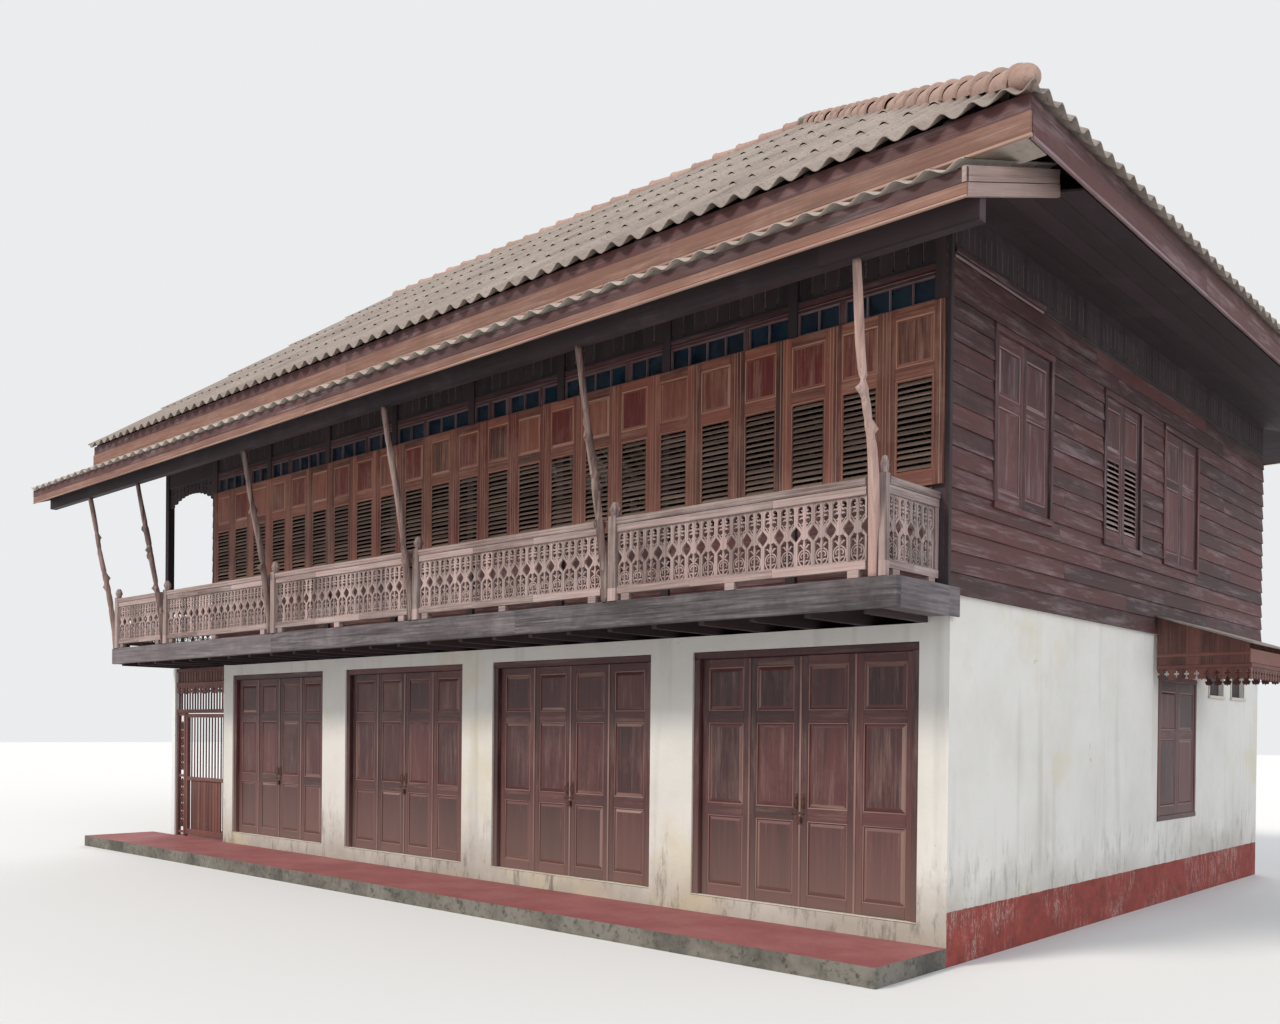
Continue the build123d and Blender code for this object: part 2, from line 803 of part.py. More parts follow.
def roof_piece(outline, plane_point, plane_normal, low, high):
    """A slope of the roof: the plan outline raised, then kept between two parallel sloping planes."""
    with BuildPart() as piece:
        with BuildSketch(Plane.XY.offset(fascia_bottom_z - 500)):
            with BuildLine():
                Polyline(*outline, close=True)
            make_face()
        extrude(amount=6000)
        x, y, z = plane_point
        split(bisect_by=Plane(origin=(x, y, z + high), z_dir=plane_normal), keep=Keep.BOTTOM)
        split(bisect_by=Plane(origin=(x, y, z + low), z_dir=plane_normal), keep=Keep.TOP)
    return piece.part


def roof_outlines():
    """Plan outlines of the three slopes, out to the tile edge."""
    over = tile_overhang
    y0, y1 = y_front - eave_reach - over, y_back + eave_reach + over
    x0, x1 = x_left - gable_reach - over, x_right + side_eave_reach + over
    hip = (x1 - (y1 - y0) / 2, 0)
    front = ((x0, y0), (x1, y0), hip, (x0, 0))
    back = ((x0, 0), hip, (x1, y1), (x0, y1))
    right = ((x1, y0), (x1, y1), hip)
    return front, back, right


def roof_slopes():
    """Tile decks of the three slopes."""
    front, back, right = roof_outlines()
    edge = (0, y_front - eave_reach, fascia_top_z)
    end = (x_right + side_eave_reach, 0, fascia_top_z)
    for name, outline, point, normal in (
        ("roof_front", front, edge, (0, -pitch, 1)),
        ("roof_back", back, (0, -edge[1], fascia_top_z), (0, pitch, 1)),
        ("roof_right", right, end, (pitch, 0, 1)),
    ):
        with BuildPart() as piece:
            add(roof_piece(outline, point, normal, 0, tile_thick))
        save(piece, name)


def main_fascia():
    """Two boards on edge round the eaves, front, right and back."""
    x0, x1 = x_left - gable_reach, x_right + side_eave_reach
    y0, y1 = y_front - eave_reach, y_back + eave_reach
    with BuildPart() as piece:
        for low, high, inset in ((fascia_bottom_z, fascia_joint_z, 0), (fascia_joint_z, fascia_top_z, fascia_step)):
            slab(x0, x1 - inset, y0 + inset, y0 + inset + fascia, low, high)
            slab(x0, x1 - inset, y1 - inset - fascia, y1 - inset, low, high)
            slab(x1 - inset - fascia, x1 - inset, y0 + fascia_step + fascia + joint_gap,
                 y1 - fascia_step - fascia - joint_gap, low, high)
    save(piece, "main_fascia")


def rafters():
    """Common rafters under the front and back slopes, jack rafters under the hip, as one set of bars a slope."""
    front, back, right = roof_outlines()
    inset = tile_overhang + fascia + fascia_step + joint_gap
    edge = (0, y_front - eave_reach, fascia_top_z)
    end = (x_right + side_eave_reach, 0, fascia_top_z)
    sets = []
    for outline, point, normal, along_x in (
        (front, edge, (0, -pitch, 1), True),
        (back, (0, -edge[1], fascia_top_z), (0, pitch, 1), True),
        (right, end, (pitch, 0, 1), False),
    ):
        region = roof_piece(outline, point, normal, -rafter_height, 0)
        with BuildPart() as piece:
            if along_x:
                x0 = x_left - gable_reach + rafter_width / 2 + fascia
                count = int((x_right + side_eave_reach - inset - x0) / rafter_pitch) + 1
                centre = (x0 + rafter_pitch * (count - 1) / 2, 0, 8000)
                with Locations(centre):
                    with GridLocations(rafter_pitch, 1, count, 1):
                        Box(rafter_width, 2 * (y_back + eave_reach - fascia - fascia_step - joint_gap), 5000)
            else:
                count = 2 * int((y_back + eave_reach - inset) / rafter_pitch) + 1
                reach = x_right + side_eave_reach - fascia - fascia_step - joint_gap
                with Locations((reach / 2, 0, 8000)):
                    with GridLocations(1, rafter_pitch, 1, count):
                        Box(reach, rafter_width, 5000)
            add(region, mode=Mode.INTERSECT)
            for line, angle in (((0, 0), 0), (front[2], 45), (front[2], -45)):
                with Locations(Location((line[0], line[1], 8000), (0, 0, angle))):
                    Box(40000, ridge_gap, 6000, mode=Mode.SUBTRACT)
        sets.append(piece.part)
    with BuildPart() as everything:
        for bars in sets:
            add(bars)
    save(everything, "rafters")


def soffits():
    """Sloping eave linings of the right and back sides, from the fascia up to the wall, mitred at the corner."""
    inner = fascia + fascia_step + joint_gap
    xw, yw = x_right + board, y_back + board
    x1, y1 = x_right + side_eave_reach - inner, y_back + eave_reach - inner
    x0 = x_left - gable_reach
    drop = side_vent_top_z - fascia_bottom_z - soffit_rise
    right = ((xw, y_upper + joint_gap), (x1, y_upper + joint_gap), (x1, y1), (xw, yw))
    back = ((x0, yw), (xw - joint_gap, yw), (x1 - joint_gap, y1), (x0, y1))
    with BuildPart() as piece:
        add(roof_piece(right, (xw, 0, side_vent_top_z), (drop / (x1 - xw), 0, 1), 0, soffit))
        add(roof_piece(back, (0, yw, side_vent_top_z), (0, drop / (y1 - yw), 1), 0, soffit))
    save(piece, "eave_soffit")


def gable_wall():
    """Upright boards closing the roof's left end above the porch."""
    x = x_left
    low = plate_tops()[1]
    top = roof_top(0) - rafter_height
    half = (top - low) / pitch
    with BuildPart() as piece:
        with BuildSketch(Plane.YZ.offset(x)):
            with BuildLine():
                Polyline((-half, low), (half, low), (0, top), close=True)
            make_face()
        extrude(amount=board)
    save(piece, "gable_wall")


def ridge_tiles():
    """Half-round capping along the ridge and down the two hips, seated on the tiles."""
    over = tile_overhang
    y1 = y_back + eave_reach + over
    x1 = x_right + side_eave_reach + over
    ridge_z = roof_top(0) + tile_thick
    hip = Vector(x1 - y1, 0, ridge_z)
    foot_z = roof_top(-y1) + tile_thick
    starts = (Vector(x_left - gable_reach - over, 0, ridge_z), Vector(x1, -y1, foot_z), Vector(x1, y1, foot_z))
    big = 3 * y1
    keeps = (
        Pos(hip.X - joint_gap - big / 2, 0, 0) * Box(big, big, 2 * big),
        Pos(hip.X + big / 2, -joint_gap - big / 2, 0) * Box(big, big, 2 * big),
        Pos(hip.X + big / 2, joint_gap + big / 2, 0) * Box(big, big, 2 * big),
    )
    front, back, right = roof_outlines()
    deep = -1500
    body = [
        roof_piece(front, (0, y_front - eave_reach, fascia_top_z), (0, -pitch, 1), deep, tile_thick),
        roof_piece(back, (0, y_back + eave_reach, fascia_top_z), (0, pitch, 1), deep, tile_thick),
        roof_piece(right, (x_right + side_eave_reach, 0, fascia_top_z), (pitch, 0, 1), deep, tile_thick),
    ]
    caps = []
    for start, keep in zip(starts, keeps):
        run = hip - start
        side = run.cross(Vector(0, 0, 1))
        with BuildPart() as cap:
            with BuildSketch(Plane(origin=start, x_dir=side, z_dir=run)):
                with Locations((0, cap_drop)):
                    RegularPolygon(ridge_radius, 12)
            extrude(amount=run.length + ridge_radius)
            add(keep, mode=Mode.INTERSECT)
            for slope in body:
                add(slope, mode=Mode.SUBTRACT)
            slab(-big, big, -big, big, -big, foot_z - tile_thick, Mode.SUBTRACT)
        caps.append(cap.part)
    with BuildPart() as piece:
        for cap in caps:
            add(cap)
    save(piece, "ridge_and_hip_tiles")


def leanto_roof():
    """Sheet, rafters, purlin and edge boards of the low roof over the balcony."""
    x0, x1 = x_left - leanto_left_x_reach, x_right + leanto_right_reach
    y0 = y_front - leanto_reach
    rise = leanto_pitch * (leanto_reach - front_overhang)
    top = leanto_fascia_top_z
    lip = leanto_lip
    with BuildPart() as sheet:
        with BuildSketch(Plane.YZ.offset(x0)):
            with BuildLine():
                Polyline((y0 - lip, top - lip * leanto_pitch), (y_upper, top + rise),
                         (y_upper, top + rise + leanto_sheet), (y0 - lip, top - lip * leanto_pitch + leanto_sheet),
                         close=True)
            make_face()
        extrude(amount=x1 - x0)
    save(sheet, "leanto_sheet")
    with BuildPart() as edge_boards:
        slab(x0, x1, y0, y0 + fascia, leanto_fascia_bottom_z, top)
        near = y0 + fascia + joint_gap
        near_rise = leanto_pitch * (near - y0)
        for x in (x0, x1 - fascia):
            with BuildSketch(Plane.YZ.offset(x)):
                with BuildLine():
                    Polyline((near, leanto_fascia_bottom_z), (y_upper, leanto_fascia_bottom_z + rise),
                             (y_upper, top + rise), (near, top + near_rise), close=True)
                make_face()
            extrude(amount=fascia)
    save(edge_boards, "leanto_fascia")
    count = int((x1 - x0 - 2 * fascia) / leanto_rafter_pitch) + 1
    with BuildPart() as bars:
        with BuildSketch(Plane.YZ.offset(x0 + fascia + joint_gap)):
            with BuildLine():
                Polyline((near, top + near_rise - leanto_rafter_height), (y_upper, top + rise - leanto_rafter_height),
                         (y_upper, top + rise), (near, top + near_rise), close=True)
            make_face()
        extrude(amount=leanto_rafter_width)
        bar = bars.part
    step = (x1 - x0 - 2 * (fascia + joint_gap) - leanto_rafter_width) / (count - 1)
    with BuildPart() as rafter_set:
        with Locations(*[(step * i, 0, 0) for i in range(count)]):
            add(bar)
    save(rafter_set, "leanto_rafters")
    purlin_y = y_balcony + beam_thick / 2 - strut_lean
    under = top + leanto_pitch * (purlin_y - purlin / 2 - y0) - leanto_rafter_height
    with BuildPart() as beam:
        slab(x0 + fascia + joint_gap, x1 - fascia - joint_gap, purlin_y - purlin / 2, purlin_y + purlin / 2,
             strut_top_z, under)
    save(beam, "leanto_purlin")


def window_rows():
    """Every shuttered window as (wall plane at its sill, start, width, height), right, back and ground."""
    height = window_head_z - window_sill_z
    low_height = side_window_head - side_window_sill
    right = Plane(origin=(x_right, y_front, window_sill_z), x_dir=(0, 1, 0), z_dir=(0, 0, 1))
    back = Plane(origin=(x_right, y_back, window_sill_z), x_dir=(-1, 0, 0), z_dir=(0, 0, 1))
    low_right = Plane(origin=(x_right, y_front, side_window_sill), x_dir=(0, 1, 0), z_dir=(0, 0, 1))
    low_back = Plane(origin=(x_right, y_back, side_window_sill), x_dir=(-1, 0, 0), z_dir=(0, 0, 1))
    rows = [(right, start, width, height) for start, width in right_windows]
    rows += [(back, start, width, height) for start, width in back_windows()]
    rows.append((low_right, side_window_start, side_window_width, low_height))
    rows += [(low_back, bay * (i + 0.5) - side_window_width / 2, side_window_width, low_height) for i in (0, 2)]
    return rows


def windows():
    """Frames and panelled shutters of the right and back walls, both storeys."""
    frames, leaves = [], []
    for wall, start, width, height in window_rows():
        upper = wall.origin.Z > masonry_top_z
        face = board if upper else 0
        frame = window_frame_part(width, height, face + (lap_thick if upper else 0) + frame_proud)
        leaf_width = (width - 2 * window_frame - leaf_gap) / 2
        leaf_height = height - 2 * window_frame
        split_z = leaf_height * (leaf_split if upper else 1 - leaf_split)
        rails = ((leaf_rail, split_z), (split_z + leaf_rail, leaf_height - leaf_rail))
        leaf = panelled_leaf(leaf_width, leaf_height, leaf_thick, leaf_stile, rails, leaf_field_depth)
        frames.append((wall * Pos(start, 0, 0)) * frame)
        for i in range(2):
            x = start + window_frame + i * (leaf_width + leaf_gap)
            leaves.append((wall * Pos(x, -face, window_frame)) * leaf)
    with BuildPart() as frame_set:
        for frame in frames:
            add(frame, clean=False)
    save(frame_set, "window_frames")
    with BuildPart() as leaf_set:
        for leaf in leaves:
            add(leaf, clean=False)
    save(leaf_set, "window_shutters")


def window_frame_part(width, height, depth):
    """A window frame that fills its opening and stands a little proud of the wall."""
    with BuildPart() as frame:
        slab(0, width, -depth, stud / 2, 0, height)
        slab(window_frame, width - window_frame, -depth, stud / 2, window_frame, height - window_frame, Mode.SUBTRACT)
    return frame.part


def back_windows():
    """Starts and widths of the back windows, one to a bay, from the right."""
    width = right_windows[0][1]
    return [(bay * (i + 0.5) - width / 2, width) for i in range(bay_count)]


def vent_panels():
    """Boards set back in the small vents near the ground storey's ceiling."""
    with BuildPart() as piece:
        for vent in vent_hole_starts:
            start = y_front + vent
            outer = x_right - vent_panel_set
            slab(outer - vent_panel_thick, outer, start, start + vent_hole_width, vent_hole_sill, vent_hole_head)
    save(piece, "vent_panels")


def porch_head():
    """Beam over the porch's front opening with a pierced valance under it."""
    x0, x1 = x_left + stud, x_room - stud - board - lap_thick
    with BuildPart() as piece:
        slab(x0, x1, y_upper + porch_beam_set, y_upper + porch_beam_set + porch_beam, porch_beam_z, vent_top_z)
        slab(x0, x1, y_upper + front_wall_set, y_upper + front_wall_set + board, porch_beam_z - valance_drop,
             porch_beam_z)
    save(piece, "porch_head")


def main():
    """Make every piece of the house."""
    foundation()
    passage_floor()
    front_walkway()
    front_masonry()
    right_masonry_wall()
    back_masonry_wall()
    left_masonry_wall()
    door_frames()
    folding_doors()
    canopy()
    passage_front()
    floor_joists()
    upper_floor()
    balcony_beam()
    newels()
    branch_struts()
    balcony_railing()
    porch_railing()
    wall_posts()
    wall_plates()
    front_wall()
    front_shutters()
    upper_side_walls()
    side_vent_boards()
    roof_slopes()
    main_fascia()
    rafters()
    soffits()
    gable_wall()
    ridge_tiles()
    leanto_roof()
    windows()
    vent_panels()
    porch_head()


main()
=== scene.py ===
"""Finishes a two-storey timber house: its materials, carved and jointed detail, lights and camera.

Metres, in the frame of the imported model: +X along the front to the right, +Y back, +Z up.
"""

import logging
import math
from collections.abc import Iterable, Sequence
from dataclasses import dataclass, field, replace
from enum import Enum

import bpy
import numpy as np
from mathutils import Matrix, Vector


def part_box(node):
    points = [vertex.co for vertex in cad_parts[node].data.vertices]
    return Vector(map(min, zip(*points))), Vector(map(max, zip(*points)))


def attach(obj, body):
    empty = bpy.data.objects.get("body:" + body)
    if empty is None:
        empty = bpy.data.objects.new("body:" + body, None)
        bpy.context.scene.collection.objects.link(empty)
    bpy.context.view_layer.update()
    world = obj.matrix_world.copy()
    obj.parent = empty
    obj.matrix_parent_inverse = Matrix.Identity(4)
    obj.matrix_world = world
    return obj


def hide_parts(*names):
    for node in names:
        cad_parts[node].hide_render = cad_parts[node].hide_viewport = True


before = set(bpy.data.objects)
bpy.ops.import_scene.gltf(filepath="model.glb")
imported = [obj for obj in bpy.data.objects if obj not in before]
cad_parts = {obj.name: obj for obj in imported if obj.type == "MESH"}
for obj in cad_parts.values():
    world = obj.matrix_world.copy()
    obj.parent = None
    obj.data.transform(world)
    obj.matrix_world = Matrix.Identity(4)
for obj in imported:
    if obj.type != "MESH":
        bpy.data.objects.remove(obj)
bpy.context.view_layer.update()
LOG = logging.getLogger("house")
GRAIN_MAP = "grain"
TONE = "tone"
# Tones above those of plain boards: a panel of another colour, and a pale edge: mostly rubbed wear, but
# painted daylight along the slits of the pierced boards and a painted highlight on the side wall's thin
# moulding strip.
ACCENT, PALE_EDGE = 0.93, 1.0
UP = Vector((0, 0, 1))

Point = tuple[float, float, float]
Flat = tuple[float, float]
Tree = bpy.types.NodeTree
Socket = bpy.types.NodeSocket


class Grain(Enum):
    """Which way the grain runs: along one axis of the place, or as each board's own map says."""

    X = 0
    Y = 1
    Z = 2
    BOARDS = 3


class Infill(Enum):
    """What fills an opening of a framed leaf."""

    PANEL = "fielded panel"
    LOUVRE = "louvres"


@dataclass(frozen=True)
class Measures:
    """The driving dimensions that the sub-assemblies share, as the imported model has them."""

    right: float = 6.845
    room_left: float = -5.155
    front: float = -4.63
    back: float = 4.5
    bay: float = 3.0
    floor: float = 3.09
    beam_top: float = 3.11
    rail_low: float = 3.17
    fret_low: float = 3.24
    fret_high: float = 3.74
    cap_low: float = 3.81
    cap_top: float = 3.87
    board: float = 0.17


HOUSE = Measures()


def linear(shade: str) -> tuple[float, float, float, float]:
    """Turns a colour from sRGB hex, such as #dedede, to linear red, green, blue and full opacity."""
    parts = [int(shade[i : i + 2], 16) / 255 for i in (1, 3, 5)]
    return (*[p / 12.92 if p <= 0.04045 else ((p + 0.055) / 1.055) ** 2.4 for p in parts], 1.0)


def add_node(tree: Tree, kind: str, settings: dict | None = None) -> Sequence[Socket]:
    """Adds one node with its settings and links.

    Args:
        tree: the node tree.
        kind: Blender's name of the node type, without its ShaderNode.
        settings: values by the name of a property, or by the name or number of an input. An output given
            as a value is linked to that input.

    Returns:
        The node's outputs.
    """
    node = tree.nodes.new(f"ShaderNode{kind}")
    for key, value in (settings or {}).items():
        if isinstance(value, Socket):
            tree.links.new(value, node.inputs[key])
        elif isinstance(key, str) and hasattr(node, key):
            setattr(node, key, value)
        else:
            node.inputs[key].default_value = value
    return node.outputs


def pattern(
    tree: Tree, place: Socket, size_mm: float | Point, detail: float, rough: float = 0.5,
    warp: float = 0.0,
) -> Socket:
    """Lays a random pattern whose marks have a real size.

    Args:
        tree: the node tree.
        place: the coordinates it follows, in metres.
        size_mm: the size of its marks in millimetres, one for all or one for each axis.
        detail: how many finer layers it has.
        rough: how strongly they show.
        warp: how far its lines are bent.

    Returns:
        The pattern, from 0 to 1 and mostly near the middle.
    """
    sizes = size_mm if isinstance(size_mm, tuple) else (size_mm,) * 3
    scale = tuple(1000 / size for size in sizes)
    scaled = add_node(tree, "VectorMath", {"operation": "MULTIPLY", 0: place, 1: scale})[0]
    look = {"Scale": 1.0, "Detail": detail, "Roughness": rough, "Distortion": warp}
    return add_node(tree, "TexNoise", {"Vector": scaled, **look})[0]


def stain(
    tree: Tree, under: Socket | str, over: Socket | str, share: Socket, low: float = 0.0,
    high: float = 1.0, most: float = 1.0, mode: str = "MIX",
) -> Socket:
    """Lays one colour over another where a pattern says so.

    Args:
        tree: the node tree.
        under: the lower colour, as an output or in hex.
        over: the upper colour, as an output or in hex.
        share: the pattern.
        low: the pattern's value where the upper colour starts.
        high: its value where the upper colour is at its fullest.
        most: how much of the upper colour shows there.
        mode: how the upper colour is laid on.

    Returns:
        The colour.
    """
    share = add_node(tree, "MapRange", {0: share, 1: low, 2: high, 4: most})[0]
    under, over = (linear(colour) if isinstance(colour, str) else colour for colour in (under, over))
    return add_node(tree, "Mix", {"data_type": "RGBA", "blend_type": mode, 0: share, 6: under, 7: over})[2]


def weighed(tree: Tree, *terms: tuple[Socket, float], start: float = 0.0) -> Socket:
    """Adds up patterns, each times its weight.

    Args:
        tree: the node tree.
        terms: each pattern with its weight.
        start: a number that is added as well.

    Returns:
        The sum.
    """
    total = start
    for value, weight in terms:
        total = add_node(tree, "Math", {"operation": "MULTIPLY_ADD", 0: value, 1: weight, 2: total})[0]
    return total


@dataclass(frozen=True)
class Finish:
    """What every finish has: a name, and a surface that feeds one shader."""

    name: str

    def surface(self, tree: Tree) -> dict:
        """The shader's settings and links; each finish has its own."""
        raise NotImplementedError

    def material(self) -> bpy.types.Material:
        """Builds the material.

        Returns:
            The material.
        """
        material = bpy.data.materials.new(self.name)
        material.use_nodes = True
        tree = material.node_tree
        tree.nodes.clear()
        shader = add_node(tree, "BsdfPrincipled", self.surface(tree))
        add_node(tree, "OutputMaterial", {"Surface": shader["BSDF"]})
        return material


@dataclass(frozen=True)
class Timber(Finish):
    """Sawn and planed hardwood: long grain, a tone for each board and patches bleached by sun and rain."""

    dark: str
    light: str
    bleached: str
    bleach: float = 0.3
    roughness: float = 0.62
    # Real pores are 1 to 3 mm apart. That is too fine to show on a whole house, so the streaks are coarser.
    grain_mm: float = 14.0
    board_m: float = HOUSE.board
    length_m: float = 3.226
    mapping: Grain = Grain.BOARDS
    dusty_below: float = 0.0
    accent: str = ""
    marks: float = 0.0

    def coordinates(self, tree: Tree) -> tuple[Socket, Socket]:
        """Lays the grain along the boards.

        Args:
            tree: the node tree.

        Returns:
            The grain's coordinates in metres, first one along it, and the board's tone from 0 to 1.
        """
        if self.mapping is Grain.BOARDS:
            tone = add_node(tree, "Attribute", {"attribute_name": TONE})["Fac"]
            flat = add_node(tree, "UVMap", {"uv_map": GRAIN_MAP})[0]
            split = add_node(tree, "SeparateXYZ", {0: flat})
            depth = weighed(tree, (tone, 37.0))
            return add_node(tree, "CombineXYZ", {0: split[0], 1: split[1], 2: depth})[0], tone
        split = add_node(tree, "SeparateXYZ", {0: add_node(tree, "TexCoord")["Object"]})
        order = {Grain.X: (0, 1, 2), Grain.Y: (1, 0, 2), Grain.Z: (2, 0, 1)}[self.mapping]
        joined = add_node(tree, "CombineXYZ", {i: split[axis] for i, axis in enumerate(order)})[0]
        boards = (1 / self.length_m, 1 / self.board_m, 1 / self.board_m)
        cells = add_node(tree, "VectorMath", {"operation": "MULTIPLY", 0: joined, 1: boards})[0]
        whole = add_node(tree, "VectorMath", {"operation": "FLOOR", 0: cells})[0]
        return joined, add_node(tree, "TexWhiteNoise", {"Vector": whole})["Value"]

    def surface(self, tree: Tree) -> dict:
        """Two tones of wood by board and streak, then paint, rubbed edges, bleaching, rain and dust.

        Args:
            tree: the node tree.

        Returns:
            The shader's settings and links.
        """
        grain, tone = self.coordinates(tree)
        place = add_node(tree, "TexCoord")["Object"]
        wide = 5 * self.grain_mm
        streak = pattern(tree, grain, (625, self.grain_mm, self.grain_mm), 5.0, 0.62)
        figure = pattern(tree, grain, (1428.6, wide, wide), 3.0, warp=0.8)
        streaks = add_node(tree, "MapRange", {0: streak, 1: 0.32, 2: 0.68})[0]
        cloud = add_node(tree, "MapRange", {0: figure, 1: 0.2, 2: 0.75, 4: 0.35})[0]
        share = weighed(tree, (streaks, 0.45), (tone, 0.75), (cloud, 1.0))
        colour = stain(tree, self.dark, self.light, share, 0.25, 1.15)
        painted = (ACCENT, self.accent or self.dark, {0: streak, 1: 0.85, 2: 0.5, 4: 0.95})
        rubbed = (PALE_EDGE, self.bleached, {0: figure, 1: 0.25, 2: 0.6, 4: 0.8})
        for level, coat, cover in (painted, rubbed) if self.mapping is Grain.BOARDS else ():
            chosen = add_node(tree, "Math", {"operation": "COMPARE", 0: tone, 1: level, 2: 0.03})[0]
            cover = add_node(tree, "MapRange", cover)[0]
            share = add_node(tree, "Math", {"operation": "MULTIPLY", 0: chosen, 1: cover})[0]
            colour = stain(tree, colour, coat, share)
        patches = pattern(tree, place, 909.1, 6.0, 0.7)
        limits = {1: 0.62 - 0.4 * self.bleach, 2: 0.85 - 0.3 * self.bleach, 4: min(1.0, self.bleach * 1.6)}
        bare = add_node(tree, "MapRange", {0: patches, **limits})[0]
        worn = add_node(tree, "Math", {"operation": "MULTIPLY", 0: bare, 1: streaks})[0]
        if self.marks:
            rain = pattern(tree, grain, (909.1, 111.1, 111.1), 7.0, 0.72)
            rain = add_node(tree, "MapRange", {0: rain, 1: 0.5, 2: 0.68, 4: self.marks})[0]
            broken = add_node(tree, "MapRange", {0: streak, 1: 0.3, 2: 0.55})[0]
            rain = add_node(tree, "Math", {"operation": "MULTIPLY", 0: rain, 1: broken})[0]
            worn = add_node(tree, "Math", {"operation": "MAXIMUM", 0: worn, 1: rain})[0]
        if self.dusty_below:
            height = add_node(tree, "SeparateXYZ", {0: place})[2]
            dust = add_node(tree, "MapRange", {0: height, 1: self.dusty_below, 2: 0.35, 4: 0.4})[0]
            worn = add_node(tree, "Math", {"operation": "MAXIMUM", 0: worn, 1: dust})[0]
        colour = stain(tree, colour, self.bleached, worn)
        rough = {0: streak, 3: self.roughness - 0.12, 4: self.roughness + 0.16}
        return {
            "Base Color": stain(tree, colour, "#1a100d", streak, 0.3, 0.22, 0.6, "MULTIPLY"),
            "Roughness": add_node(tree, "MapRange", rough)[0],
            "Normal": add_node(tree, "Bump", {"Strength": 0.55, "Distance": 0.0025, "Height": streak})[0],
            "IOR": 1.5,
        }


@dataclass(frozen=True)
class Plaster(Finish):
    """Lime-washed render on brick: trowelled, stained by rain, chipped, and painted in a band at the foot."""

    base: str
    stained: str
    band: str
    band_top: float
    band_from_x: float
    roughness: float = 0.86

    def surface(self, tree: Tree) -> dict:
        """White wash under stains, runs, warm patches, mould and chips, with the red band at its foot.

        Args:
            tree: the node tree.

        Returns:
            The shader's settings and links.
        """
        place = add_node(tree, "TexCoord")["Object"]
        x, _, z = add_node(tree, "SeparateXYZ", {0: place})
        broad = pattern(tree, place, 1111, 8.0, 0.65)
        runs = pattern(tree, place, (200, 200, 2857), 4.0)
        warm = pattern(tree, place, 1818, 9.0, 0.6)
        mould = pattern(tree, place, (111.1, 111.1, 454.5), 9.0, 0.75)
        chips = pattern(tree, place, 153.8, 7.0, 0.75)
        damp = add_node(tree, "MapRange", {0: z, 1: 1.15, 2: 0.4})[0]
        mouldy = add_node(tree, "MapRange", {0: mould, 1: 0.52, 2: 0.66, 4: 0.75})[0]
        mouldy = add_node(tree, "Math", {"operation": "MULTIPLY", 0: mouldy, 1: damp})[0]
        colour = self.base
        for over, share, low, high, most in (
            (self.stained, broad, 0.42, 0.72, 0.5), ("#8d8a83", runs, 0.56, 0.8, 0.35),
            ("#9a9184", weighed(tree, (z, 1.0), (broad, -0.9)), 0.35, -0.3, 0.75),
            ("#c9bd9a", warm, 0.56, 0.66, 0.5), ("#5f5a50", mouldy, 0.0, 1.0, 1.0),
            ("#b9a98a", chips, 0.66, 0.7, 0.8),
        ):
            colour = stain(tree, colour, over, share, low, high, most)
        # Real sand grains are 1 to 2 mm. They are too fine to show, so the grit is drawn at 22 mm.
        grit = pattern(tree, place, 22.22, 5.0, 0.7)
        relief = {"Strength": 0.35, "Distance": 0.004, "Height": weighed(tree, (grit, 1.0), (chips, 2.5))}
        return {
            "Base Color": stain(
                tree, colour, self.red(tree, broad, chips, mould), self.painted(tree, x, z, chips)
            ),
            "Roughness": self.roughness,
            "Normal": add_node(tree, "Bump", relief)[0],
        }

    def painted(self, tree: Tree, x: Socket, z: Socket, chips: Socket) -> Socket:
        """Where the band is: under an uneven edge, and on the side wall only.

        Args:
            tree: the node tree.
            x: the place along the front.
            z: its height.
            chips: the pattern that makes the edge uneven.

        Returns:
            1 on the band and 0 elsewhere.
        """
        edge = weighed(tree, (chips, 0.03), start=self.band_top - 0.015)
        under = add_node(tree, "Math", {"operation": "LESS_THAN", 0: z, 1: edge})[0]
        limits = {1: self.band_from_x - 0.002, 2: self.band_from_x - 0.001}
        side = add_node(tree, "MapRange", {0: x, **limits})[0]
        return add_node(tree, "Math", {"operation": "MULTIPLY", 0: under, 1: side})[0]

    def red(self, tree: Tree, broad: Socket, chips: Socket, mould: Socket) -> Socket:
        """The band's paint, darker in spots, faded in clouds and broken by pale veins.

        Args:
            tree: the node tree.
            broad: the pattern of the clouds.
            chips: the pattern of the spots.
            mould: the pattern whose middle value draws the veins.

        Returns:
            The colour.
        """
        red = stain(tree, self.band, "#6b2f29", chips, 0.4, 0.66)
        red = stain(tree, red, "#a8766a", broad, 0.55, 0.8, 0.5)
        veins = add_node(tree, "MapRange", {0: broad, 1: 0.46, 2: 0.56, 4: 0.7})[0]
        for start in (0.485, 0.515):
            flank = add_node(tree, "MapRange", {0: mould, 1: start, 2: 0.5})[0]
            veins = add_node(tree, "Math", {"operation": "MULTIPLY", 0: veins, 1: flank})[0]
        return stain(tree, red, "#cfc4bb", veins)


